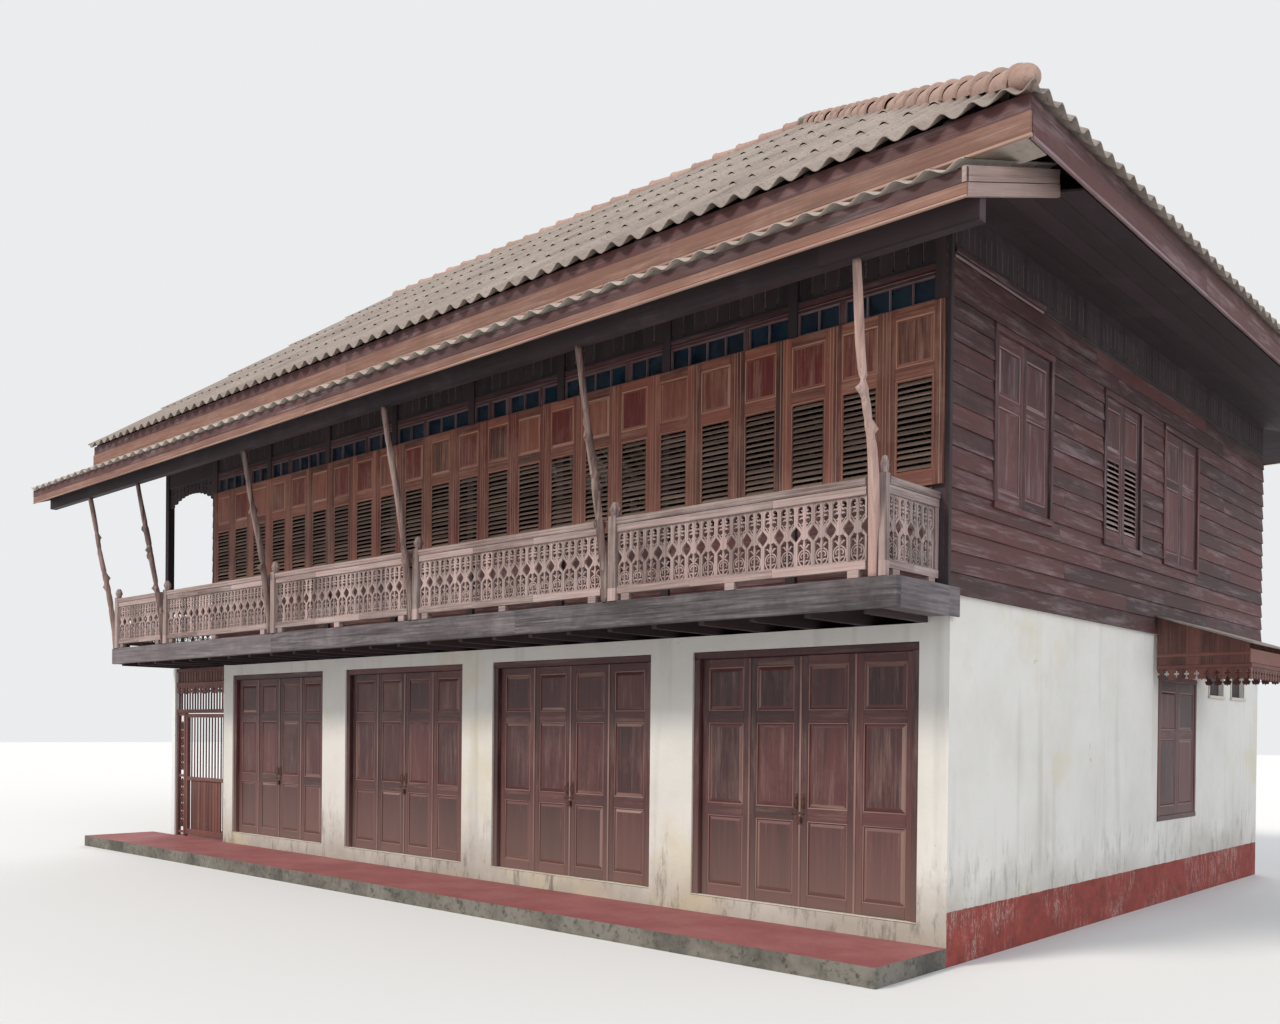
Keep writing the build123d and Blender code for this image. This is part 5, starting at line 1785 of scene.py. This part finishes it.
@dataclass
class MainRoof:
    """The tiled roof: slopes, capping, edge boards, soffit, rafters and the boarded gable."""

    x0: float = -7.155
    x1: float = 8.055
    y1: float = 5.728
    pitch: float = 0.7
    cap_radius: float = 0.104
    cap_step: float = 0.41
    # How far up a cap, its radius as a share and its rise there.
    cap_profile: tuple[Point, ...] = (
        (-0.015, 0.9, 0.0), (0.0, 1.1, 0.012), (0.07, 1.12, 0.014), (0.14, 1.03, 0.01), (0.6, 0.96, 0.0),
        (1.12, 0.86, -0.012),
    )
    fascia_thick: float = 0.028
    fascia_step: float = 0.012
    fascia_joint: float = 6.11
    gable_board: float = 0.16
    mortar_radius: float = 0.17
    mortar_height: float = 0.19
    soffit_top: float = 6.2
    soffit_boards: int = 5
    # Opposite corners of the pale sheet under the front eave.
    sheet: tuple[Point, Point] = ((-7.09, -5.625, 5.955), (7.95, -5.3, 5.963))

    def build(self) -> None:
        """Builds and dresses the roof."""
        self.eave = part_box("roof_front")[0].z + 0.03
        self.ridge_z = self.eave + self.pitch * self.y1
        front, back = Place((0, -self.y1, 0)), Place((0, self.y1, 0), inward=(0, -1, 0))
        hip_end = Place((self.x1, 0, 0), (0, 1, 0), (-1, 0, 0))
        for name, node, place, ends, seed, hips in (
            ("front_tiles", "roof_front", front, (self.x0, self.x1), 51, 1),
            ("back_tiles", "roof_back", back, (self.x0, self.x1), 52, 1),
            ("hip_end_tiles", "roof_right", hip_end, (-self.y1, self.y1), 53, 2),
        ):
            TiledSlope(name, node, place, ends, self.eave, seed, hips, self.pitch).build()
        dress("rafters", along(Palette.shade, Grain.Y, 0.6))
        self.capping()
        self.edges()
        self.soffit()
        self.gable()

    def cap(self, draft: Draft, foot: Vector, head: Vector) -> None:
        """Lays overlapping half-round tiles from one point up to another.

        Args:
            draft: the piece that takes them.
            foot: where the first tile starts.
            head: where the last one ends.
        """
        run = head - foot
        count = max(1, round(run.length / self.cap_step))
        forward = run.normalized()
        side = forward.cross(UP).normalized()
        lift = side.cross(forward)
        spin = np.linspace(-0.12 * math.pi, 1.12 * math.pi, 15)
        for i in range(count):
            slip = float(draft.random.uniform(-0.012, 0.012))
            rings = []
            for t, radius, raised in self.cap_profile:
                centre = foot + run * ((i + t) / count) + lift * raised + side * slip
                rings.append(ring(centre, self.cap_radius * radius, spin, side, lift))
            draft.rings(rings, Grain.X, None, closed=False)

    def bulb(self, draft: Draft, at: Vector, away: Vector) -> None:
        """Adds the rounded tile that closes a hip's foot.

        Args:
            draft: the piece that takes it.
            at: the foot of the hip's capping.
            away: the direction down the hip.
        """
        side = away.cross(UP).normalized()
        lift = side.cross(away)
        rings = []
        for t in np.linspace(0, 1, 10):
            neck = 0.86 + 0.14 * min(1, t * 4)
            rounded = math.sqrt(max(0.0, 1 - max(0.0, (t - 0.45) / 0.55) ** 2)) * neck
            radius = max(self.cap_radius * 0.95 * rounded, 0.004)
            rings.append(ring(at + away * (0.38 * t - 0.1) + UP * 0.03, radius, turn(20), side, lift))
        draft.rings(rings, Grain.X, 0.05)

    def capping(self) -> None:
        """Adds the clay capping of the ridge and both hips, the end tiles and the mortar at the crossing."""
        draft = Draft(54)
        hip = Vector((self.x1 - self.y1, 0, self.ridge_z - 0.02))
        self.cap(draft, Vector((self.x0 + 0.02, 0, self.ridge_z - 0.06)), hip + Vector((0.05, 0, -0.015)))
        for side in (-1, 1):
            corner = Vector((self.x1, side * self.y1, self.eave + 0.02))
            down = (corner - hip).normalized()
            start = corner - down * 0.3
            self.cap(draft, start, hip)
            self.bulb(draft, start - down * 0.02, down)
        draft.build("clay_capping", Palette.clay, "clay_tile", ["ridge_and_hip_tiles"], smooth=True)
        lump = Draft(55)
        rings = []
        for t in np.linspace(0.02, 0.98, 9):
            swell = self.mortar_radius * math.sin(math.pi * t) ** 0.7
            radius = swell * (1 + lump.random.uniform(-0.1, 0.1, 16))
            rings.append(ring((hip.x, 0, hip.z - 0.02 + self.mortar_height * (t - 0.3)), radius, turn(16)))
        lump.rings(rings, Grain.X, 0.1)
        lump.build("ridge_mortar", Palette.old_mortar, "clay_tile", smooth=True)

    def edges(self) -> None:
        """Adds the two edge boards of each eave, with a bead along the foot of the lower one."""
        draft, upper = Draft(56), Draft(60)
        low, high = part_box("main_fascia")
        t, step, joint, foot = self.fascia_thick, self.fascia_step, self.fascia_joint, low.z + 0.026
        # The lower boards of the front and back take light tones as painted sunlight; the upper boards and
        # every board of the side go into the darker wall finish as painted shade.
        for z0, z1, inset, tones, taken in (
            (foot, joint, 0.0, (0.5, 0.85), draft), (joint, high.z, step, (0.2, 0.6), upper),
            (low.z, foot, -0.008, (PALE_EDGE, PALE_EDGE), draft),
        ):
            for side in (-1, 1):
                depths = sorted((side * (high.y - inset), side * (high.y - inset - t)))
                self.lengths(taken, (low.x, high.x - inset), depths, (z0, z1), tones)
            x = high.x - inset
            cuts = np.linspace(low.y + step + t, high.y - step - t, 4)
            for a, b in zip(cuts[:-1], cuts[1:]):
                upper.timber(
                    HERE, (x - t, a, z0), (x, b - 0.002, z1), Grain.Y, 0.004, 0.002, upper.tone(*tones)
                )
        draft.build("eave_boards", Palette.fascia, "dark_wood", ["main_fascia"])
        upper.build("painted_shade_upper_and_side_eave_boards", Palette.wall, "dark_wood")

    def lengths(self, draft: Draft, span: Flat, depths: Sequence[float], levels: Flat, tones: Flat) -> None:
        """Adds one board along the front or back in butted lengths.

        Args:
            draft: the piece that takes it.
            span: its left and right end.
            depths: y of its two faces.
            levels: its foot and top.
            tones: the range of its lengths' tones.
        """
        (y0, y1), (z0, z1) = depths, levels
        cuts = np.linspace(span[0], span[1], 5)
        cuts[1:-1] += draft.random.uniform(-0.6, 0.6, 3)
        for a, b in zip(cuts[:-1], cuts[1:]):
            draft.timber(HERE, (a, y0, z0), (b - 0.002, y1, z1), Grain.X, 0.004, 0.002, draft.tone(*tones))

    def soffit(self) -> None:
        """Adds the soffit planks under the right and back eaves and the pale sheets at the front corner."""
        draft = Draft(57)
        low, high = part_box("eave_soffit")
        x_wall, y_wall = HOUSE.right + 0.025, HOUSE.back + 0.025
        z_wall, z_edge = self.soffit_top, low.z
        width, count = high.x - x_wall, self.soffit_boards
        for i in range(count):
            a, b = width * i / count, width * (i + 1) / count - 0.004
            za, zb = (z_wall + (z_edge - z_wall) * v / width for v in (a, b))
            xa, xb, ya, yb = x_wall + a, x_wall + b, y_wall + a, y_wall + b
            self.plank(draft, ((xa, low.y, za), (xb, low.y, zb), (xb, yb, zb), (xa, ya, za)), Grain.Y)
            self.plank(draft, ((low.x, ya, za), (xa, ya, za), (xb, yb, zb), (low.x, yb, zb)), Grain.X)
        # The soffit planks take the near-black finish: painted shade under the eaves.
        draft.build("soffit_planks", Palette.shade, "dark_wood", ["eave_soffit"])
        pale = Draft(58)
        pale.box(HERE, *self.sheet, Grain.X, 0.9)
        pale.build("eave_sheets", Palette.sheet, "sheet")

    def plank(self, draft: Draft, bottom: Sequence[Point], grain: Grain) -> None:
        """Adds one sloping plank over the corners of its underside."""
        draft.add(HERE, [*bottom, *((x, y, z + 0.018) for x, y, z in bottom)], BLOCK, grain)

    def gable(self) -> None:
        """Adds the upright boards of the gable over the porch, with cover strips."""
        draft = Draft(59)
        low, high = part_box("gable_wall")
        half = high.y
        place = Place((low.x, 0, 0), (0, -1, 0), (1, 0, 0))
        slope = (high.z - low.z) / half
        y = -half
        while y < half - 0.01:
            end = min(y + self.gable_board, half)
            h0, h1 = (high.z - slope * abs(v) for v in (y, end))
            outline = [(y + 0.001, low.z), (end - 0.001, low.z), (end - 0.001, h1)]
            if y < 0 < end:
                outline.append((0.0, high.z))
            outline.append((y + 0.001, h0))
            draft.prism(place, outline, 0.006, 0.025, Grain.Z)
            if y > -half + 0.05 and h0 - low.z > 0.05:
                draft.box(place, (y - 0.02, 0.0, low.z), (y + 0.02, 0.008, h0 - 0.03), Grain.Z)
            y = end
        draft.build("gable_boards", Palette.wall, "dark_wood", ["gable_wall"])


@dataclass
class LeanTo:
    """The low roof over the balcony: waved cement sheets, edge boards, rafters and purlin."""

    front: float = -6.134
    wall: float = HOUSE.front
    pitch: float = 0.345
    edge_top: float = 5.64
    wave: float = 0.246
    swell: float = 0.026
    board_thick: float = 0.028

    def build(self) -> None:
        """Builds and dresses the lean-to."""
        self.low, self.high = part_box("leanto_sheet")
        # The rafters and the purlin take the near-black finish: painted shade under the low roof.
        dress("leanto_rafters", along(Palette.shade, Grain.Y, 0.6))
        dress("leanto_purlin", along(Palette.shade, Grain.X, 0.6))
        self.sheets()
        self.edges()

    def sheets(self) -> None:
        """Adds the waved sheets, each lapped over its neighbour, with a visible thickness at the edge."""
        draft = Draft(61)
        lapped = self.wave * 4
        x = self.low.x
        number = 0
        while x < self.high.x - 0.05:
            end = min(x + lapped + 0.03, self.high.x)
            s = np.linspace(x, end, max(4, round((end - x) / (self.wave / 10))))
            lift = 0.03 + 0.004 * (number % 2)
            wave = self.swell * np.cos(2 * math.pi * (s - self.high.x + 0.03) / self.wave)
            rows = []
            drop = float(draft.random.uniform(-0.012, 0.0))
            edge = self.low.y - drop
            for y, off in ((self.wall, -0.007), (edge, -0.007), (edge, 0.0), (-5.3, 0.0), (self.wall, 0.0)):
                z = self.edge_top + self.pitch * (y - self.front) + lift + wave + off
                rows.append(np.stack([s, np.full(len(s), y), z], 1))
            draft.rings(rows, Grain.Y, None, closed=False)
            x += lapped
            number += 1
        draft.build("leanto_sheets", Palette.sheet, "sheet", ["leanto_sheet"], smooth=True)

    def edges(self) -> None:
        """Adds the edge boards along the front and up both verges."""
        draft, upper, verges = Draft(62), Draft(64), Draft(63)
        low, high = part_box("leanto_fascia")
        z_mid = low.z + 0.1
        cuts = np.linspace(low.x, high.x, 5)
        t = self.board_thick
        for a, b in zip(cuts[:-1], cuts[1:]):
            # The lower board takes light tones as painted sunlight; the upper board goes into the darker wall
            # finish with low tones as painted shade under the sheets' edge.
            for taken, y, z0, z1, tone in (
                (draft, 0.006, low.z + 0.02, z_mid, draft.tone(0.6, 0.85)),
                (draft, 0.0, low.z, low.z + 0.02, PALE_EDGE),
                (upper, 0.014, z_mid, self.edge_top, upper.tone(0.1, 0.6)),
            ):
                near, far = (a, low.y + y, z0), (b - 0.002, low.y + y + t, z1)
                taken.timber(HERE, near, far, Grain.X, 0.004, 0.002, tone)
        cosine = 1 / math.hypot(1, self.pitch)
        sine = self.pitch * cosine
        run = self.wall - low.y
        # The verges take light tones in the pale verge finish: painted sunlight on them.
        for x0, x1, side in ((low.x, low.x + t, -1), (high.x - t, high.x, 1)):
            place = Place((x0, low.y, low.z), (0, cosine, sine), (-1, 0, 0), (0, -sine, cosine))
            for z0, z1, out, cut in ((0.0, 0.092, 0.0, 0.03), (0.1, self.edge_top - low.z, 0.006, 0.0)):
                ends = [(y, z + y * self.pitch) for y, z in ((cut, z0), (run, z0), (run, z1), (cut, z1))]
                outline = [(y * cosine + z * sine, z * cosine - y * sine) for y, z in ends]
                inner = out * side * 0.5
                verges.prism(place, outline, x0 - x1 + inner, inner, Grain.X, verges.tone(0.5, 0.85))
        upper.build("leanto_painted_shade_upper_boards", Palette.wall, "dark_wood")
        draft.build("leanto_edge_boards", Palette.fascia, "dark_wood", ["leanto_fascia"])
        verges.build("leanto_verge_boards", Palette.verge, "dark_wood")


def pierced_edge(
    draft: Draft, place: Place, length: float, top: float, foot: float, unit: float, thick: float
) -> None:
    """Adds a valance of cut boards whose edges leave crosses between them and scallops below.

    Args:
        draft: the piece that takes it.
        place: its face.
        length: its length.
        top: its top.
        foot: the level of its lowest points.
        unit: the width of one board.
        thick: its thickness.
    """
    count = max(1, round(length / unit))
    step = length / count
    mid = (top + foot) / 2 + 0.01
    # Half a cross cut into the board's edge, as depth and height from its middle.
    notch = ((0.0, -0.032), (0.011, -0.029), (0.008, -0.012), (0.026, -0.015), (0.029, 0.008), (0.008, 0.009),
             (0.012, 0.026), (0.0, 0.034))
    edge = [(0.0, foot + 0.045), *((depth, mid + z) for depth, z in notch), (0.0, top)]
    half = ((0.12, 0.035), (0.2, 0.012), (0.32, 0.012), (0.4, 0.02))
    scallop = [*half, (0.5, 0.0), *((1 - u, v) for u, v in reversed(half))]
    for i in range(count):
        x0 = step * i
        outline = [(x0 + u * step, foot + v) for u, v in scallop]
        outline += [(x0 + step - d, z) for d, z in edge] + [(x0 + d, z) for d, z in reversed(edge)]
        draft.prism(place, outline, 0.0, thick, Grain.Z)


@dataclass
class Canopy:
    """The small roof over the side window: a sheet, boarded cheeks and pierced valances."""

    wall_x: float = 6.888
    reach: float = 1.0
    start: float = 0.22
    width: float = 1.85
    wall_z: float = 3.24
    edge_z: float = 2.9
    inset: float = 0.06
    # Levels of the valance's points, of the rail it hangs from, of the boards over that and their bead.
    foot: float = 2.53
    rail: float = 2.66
    rail_top: float = 2.705
    boards_foot: float = 2.7
    bead: float = 2.79
    front_top: float = 2.86
    valance_board: float = 0.11
    wave: float = 0.076
    swell: float = 0.009

    def build(self) -> None:
        """Builds the canopy."""
        boards, sheet = Draft(71), Draft(72)
        y0, y1 = self.start + self.inset, self.start + self.width - self.inset
        slope = (self.wall_z - self.edge_z) / self.reach
        out = self.wall_x + self.reach - self.inset
        for y in (y0, y1 - 0.025):
            x = self.wall_x
            while x < out - 0.01:
                end = min(x + 0.15, out)
                h0, h1 = (self.wall_z - slope * (v - self.wall_x) for v in (x, end))
                low = self.boards_foot
                outline = [(x, low), (end - 0.002, low), (end - 0.002, h1), (x, h0)]
                boards.prism(Place((0, y, 0)), outline, 0.0, 0.018, Grain.Z)
                x = end
            for z, proud in ((self.rail, 0.012), (self.bead, 0.008)):
                near, far = (self.wall_x, y - proud, z), (out + 0.02, y + 0.03, z + 0.04)
                boards.timber(HERE, near, far, Grain.X, tone=0.8)
            cheek = Place((self.wall_x, y, 0))
            pierced_edge(boards, cheek, out - self.wall_x, self.rail, self.foot, self.valance_board, 0.018)
        front, span = Place((out + 0.018, y0, 0), (0, 1, 0), (-1, 0, 0)), y1 - y0
        boards.timber(front, (0, -0.012, self.rail), (span, 0.02, self.rail_top), Grain.X)
        boards.timber(front, (0, 0.0, self.rail_top), (span, 0.018, self.front_top), Grain.X)
        pierced_edge(boards, front, span, self.rail, self.foot, self.valance_board, 0.016)
        boards.build("canopy_boards", Palette.screen, "dark_wood", ["canopy_frame"])
        s = np.linspace(self.start, self.start + self.width, 97)
        wave = self.swell * np.cos(2 * math.pi * s / self.wave)
        rows = []
        for share, off in ((0.0, -0.003), (1.0, -0.003), (1.0, 0.0), (0.0, 0.0)):
            x = self.wall_x + self.reach * share
            z = self.wall_z - slope * (x - self.wall_x) + 0.012 + wave + off
            rows.append(np.stack([np.full(len(s), x), s, z], 1))
        sheet.rings(rows, Grain.X, None, closed=False)
        sheet.build("canopy_cover", Palette.sheet, "sheet", ["canopy_sheet"], smooth=True)


@dataclass
class Passage:
    """The passage at the left: painted posts, the screen over the gate, the fixed panel and the gate."""

    left: float = -6.735
    right: float = HOUSE.room_left
    face: float = -4.48
    bar: float = 0.06
    rail: float = 2.12
    slat: float = 2.55
    head: float = 2.835
    fixed: float = 0.24
    slats: int = 18
    slat_half: float = 0.033
    bar_half: float = 0.012
    # Bottoms of the fixed panel's stiles and of its two lower bars, and the rise of a wave of its scrolls.
    panel_foot: float = 0.16
    panel_bars: Flat = (0.2, 1.1)
    scroll: float = 0.13
    gate_rail: float = 1.05
    gate_bars: int = 12
    straps: Flat = (0.55, 1.75)

    def build(self) -> None:
        """Builds and dresses the passage's front."""
        dress("passage_posts", Palette.white)
        dress("gate_hinges", Palette.iron)
        self.screen()
        self.gate()

    def screen(self) -> None:
        """Adds the rails, the upright slats, the cut edge, the bars and the narrow fixed panel."""
        draft = Draft(81)
        y0, y1 = self.face, self.face + self.bar
        for z in (self.rail, self.slat, self.head - self.bar):
            draft.timber(HERE, (self.left, y0, z), (self.right, y1, z + self.bar), Grain.X, 0.004)
        span = self.right - self.left
        low, mid, high = self.rail + self.bar, self.slat + self.bar, self.head - self.bar
        for i in range(self.slats):
            x = self.left + span / self.slats * (i + 0.5)
            h = self.slat_half
            draft.box(HERE, (x - h, y0 + 0.02, mid), (x + h, y0 + 0.038, high), Grain.Z)
            h = self.bar_half
            draft.timber(HERE, (x - h, y0 + 0.018, low), (x + h, y0 + 0.042, self.slat), Grain.Z, 0.004)
        edge = Place((self.left, y0 + 0.006, 0))
        pierced_edge(draft, edge, span, self.slat, self.slat - 0.13, 0.12, 0.012)
        top = self.rail - 0.0005
        for x in (self.left, self.left + self.fixed):
            draft.timber(HERE, (x, y0, self.panel_foot), (x + self.bar, y1, top), Grain.Z, 0.005)
        a, b = self.left + self.bar, self.left + self.fixed
        for z in (*self.panel_bars, top - 0.04):
            draft.box(HERE, (a, y0 + 0.015, z), (b, y0 + 0.045, z + 0.04), Grain.X)
        mid = (a + b) / 2
        z = 0.3
        while z < top - 0.16:
            if not 0.98 < z < 1.14:
                plane = Place((0, y0 + 0.03, 0))
                for side in (-1, 1):
                    wave = ((-0.05, 0.0), (-0.02, 0.03), (-0.045, 0.07), (0.0, 0.12))
                    line = [(mid + side * across, z + up) for across, up in wave]
                    draft.ribbon(plane, line, [0.012, 0.016, 0.014, 0.01], -0.009, 0.009)
                draft.ribbon(plane, [(mid, z), (mid, z + self.scroll)], [0.01, 0.01], -0.007, 0.007)
            z += self.scroll
        draft.build("passage_lattice", Palette.screen, "door_wood", ["passage_screen"], bevel=0.002)

    def gate(self) -> None:
        """Adds the gate's frame, its bars and its straps."""
        draft = Draft(82)
        low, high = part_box("passage_gate")
        y0, y1, b = self.face, self.face + self.bar, self.bar
        right = self.right - 0.012
        for x in (low.x, right - b):
            draft.timber(HERE, (x, y0, low.z), (x + b, y1, high.z), Grain.Z, 0.005)
        foot = low.z + 0.09
        for z0, z1 in ((low.z, foot), (self.gate_rail, self.gate_rail + b), (high.z - b, high.z)):
            draft.timber(HERE, (low.x + b, y0 + 0.004, z0), (right - b, y1 - 0.004, z1), Grain.X, 0.005)
        step = (right - low.x - 2 * b) / self.gate_bars
        for i in range(1, self.gate_bars):
            x = low.x + b + step * i
            for z0, z1 in ((foot, self.gate_rail), (self.gate_rail + b, high.z - b)):
                draft.timber(HERE, (x - 0.011, y0 + 0.019, z0), (x + 0.011, y0 + 0.041, z1), Grain.Z, 0.004)
        for i in range(1, self.gate_bars - 1):
            x = low.x + b + step * (i + 0.5)
            draft.box(HERE, (x - 0.04, y0 + 0.026, 0.28), (x + 0.04, y0 + 0.034, self.gate_rail), Grain.Z)
        draft.build("gate_leaf", Palette.screen, "door_wood", ["passage_gate"], body="gate", bevel=0.002)
        iron = Draft(83)
        for z in self.straps:
            iron.box(HERE, (right - 0.12, y1, z - 0.03), (right, y1 + 0.004, z + 0.03), Grain.X)
            levels = (z - 0.03, z, z + 0.03)
            iron.rings([ring((right, y1 + 0.012, h), 0.011, turn(14)) for h in levels], Grain.Z)
        iron.build("gate_straps", Palette.iron, "iron", body="gate")


@dataclass
class Porch:
    """The open porch bay: its beam, pierced valance and side railing."""

    face: float = -4.6
    beam: float = 5.7
    x: float = -6.795
    boards: int = 12
    # The first and the last post of the side, and half a post.
    posts: Flat = (-4.58, 4.45)
    post_half: float = 0.05

    def build(self) -> None:
        """Builds the porch's woodwork."""
        draft = Draft(91)
        low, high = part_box("porch_head")
        draft.timber(HERE, (low.x, low.y, self.beam), (high.x, high.y, high.z), Grain.X)
        place = Place((low.x, self.face, 0))
        step = (high.x - low.x) / self.boards
        for i in range(self.boards):
            drop = 0.16 + 0.19 * abs((i + 0.5) / self.boards * 2 - 1) ** 2.2
            foot = self.beam - drop
            x0, x1 = step * i, step * (i + 1)
            # Its right edge has two pointed notches, and its left edge mirrors it.
            edge = [(0.002, foot + 0.02)]
            for share in (0.45, 0.75):
                h = foot + drop * share
                edge += [(0.002, h - 0.02), (0.02, h), (0.002, h + 0.02)]
            edge.append((0.002, self.beam))
            tips = [(x0 + step * u, foot + v) for u, v in ((0.3, 0.0), (0.5, 0.012), (0.7, 0.0))]
            outline = [(x0 + d, z) for d, z in edge[:1]] + tips + [(x1 - d, z) for d, z in edge]
            outline += [(x0 + d, z) for d, z in reversed(edge[1:])]
            draft.prism(place, outline, 0.0, 0.02, Grain.Z)
        # The valance takes the near-black finish: painted shade under the porch.
        draft.build("porch_valance", Palette.shade, "dark_wood", ["porch_head"])
        self.railing()

    def railing(self) -> None:
        """Adds the side railing between the porch posts, as the balcony's."""
        rails, frets = Draft(92), Draft(93)
        h, fretwork = Balcony().rail_half, Fretwork()
        lines = np.linspace(*self.posts, 4)
        for near, far in zip(lines[:-1], lines[1:]):
            place = Place((self.x, near + self.post_half, 0), (0, 1, 0), (-1, 0, 0))
            length = far - near - 2 * self.post_half
            for z0, z1 in (
                (HOUSE.rail_low, HOUSE.fret_low), (HOUSE.fret_high, HOUSE.cap_low),
                (HOUSE.cap_low, HOUSE.cap_top),
            ):
                rails.timber(place, (0, -h, z0), (length, h, z1), Grain.X, 0.005)
            fretwork.panel(frets, place.moved(0, 0, HOUSE.fret_low), length)
        rails.build("porch_rails", Palette.bare, "weathered_wood", ["porch_railing"])
        frets.build("porch_fretwork", along(Palette.bare, Grain.Z), "weathered_wood")


@dataclass
class Studio:
    """The pale floor, soft lamps, plain world and the camera at the photograph's angle."""

    floor_shade: str = "#dedede"
    backdrop: float = 0.93
    lens_mm: float = 32.34
    sensor_mm: float = 36.0
    shift: float = 0.178
    spot: Point = (11.323, -13.123, 1.916)
    # The camera's turns in radians: its direction, how far it looks up from level, its tilt to the side.
    pan: float = 0.7412
    rise: float = -0.0081
    tilt: float = 0.0102

    def build(self) -> None:
        """Builds the stage."""
        self.floor()
        self.world()
        self.lamps()
        self.camera()

    def floor(self) -> None:
        """Adds the floor the house stands on."""
        bpy.ops.mesh.primitive_plane_add(size=240, location=(0, 0, -0.002))
        plane = bpy.context.object
        plane.name = "studio_floor"
        plane.data.materials.append(Plain("studio_floor", self.floor_shade).material())

    def world(self) -> None:
        """Sets an even pale world that the camera and gloss see as near white."""
        world = bpy.data.worlds.new("studio")
        bpy.context.scene.world = world
        world.use_nodes = True
        tree = world.node_tree
        tree.nodes.clear()
        paths = add_node(tree, "LightPath")
        seen = paths["Is Camera Ray"]
        for name in ("Is Glossy Ray", "Is Transmission Ray"):
            seen = add_node(tree, "Math", {"operation": "MAXIMUM", 0: seen, 1: paths[name]})[0]
        light = add_node(tree, "Background", {"Color": linear("#eef2f6"), "Strength": 0.72})[0]
        shown = add_node(tree, "Background", {"Color": linear("#f2f4f6"), "Strength": self.backdrop})[0]
        mixed = add_node(tree, "MixShader", {0: seen, 1: light, 2: shown})[0]
        add_node(tree, "OutputWorld", {0: mixed})

    def lamps(self) -> None:
        """Adds a broad warm key from the front right and two weak fills."""
        for name, aim, strength, spread, shade in (
            ("key", (0.35, 1.0, -0.95), 2.3, 14, "#fff6ea"),
            ("fill", (-1.0, 0.25, -0.5), 1.0, 40, "#f2f6ff"),
            ("rim", (0.6, -1.0, -0.8), 0.7, 40, "#ffffff"),
        ):
            lamp = bpy.data.lights.new(name, "SUN")
            lamp.energy, lamp.angle, lamp.color = strength, math.radians(spread), linear(shade)[:3]
            holder = bpy.data.objects.new(name, lamp)
            holder.rotation_mode = "QUATERNION"
            holder.rotation_quaternion = Vector(aim).to_track_quat("-Z", "Y")
            bpy.context.scene.collection.objects.link(holder)

    def camera(self) -> None:
        """Sets the camera where the photographer stood."""
        camera = bpy.data.cameras.new("view")
        camera.lens, camera.sensor_width, camera.shift_y = self.lens_mm, self.sensor_mm, self.shift
        camera.clip_start, camera.clip_end = 0.1, 400.0
        holder = bpy.data.objects.new("view", camera)
        holder.rotation_mode = "XYZ"
        turns = (("Z", self.pan), ("X", math.pi / 2 + self.rise), ("Z", self.tilt))
        first, second, third = (Matrix.Rotation(angle, 4, axis) for axis, angle in turns)
        matrix = first @ second @ third
        matrix.translation = Vector(self.spot)
        holder.matrix_world = matrix
        bpy.context.scene.collection.objects.link(holder)
        bpy.context.scene.camera = holder
        bpy.context.scene.view_settings.view_transform = "Standard"


def main() -> None:
    """Builds every sub-assembly in order."""
    logging.basicConfig(level=logging.INFO, format="%(name)s %(message)s")
    for part in (
        Studio, MasonryStorey, FoldingDoors, Balcony, UpperFront, SideWalls, MainRoof, LeanTo, Canopy,
        Passage, Porch,
    ):
        LOG.info("building %s", part.__name__)
        part().build()


if __name__ == "__main__":
    main()
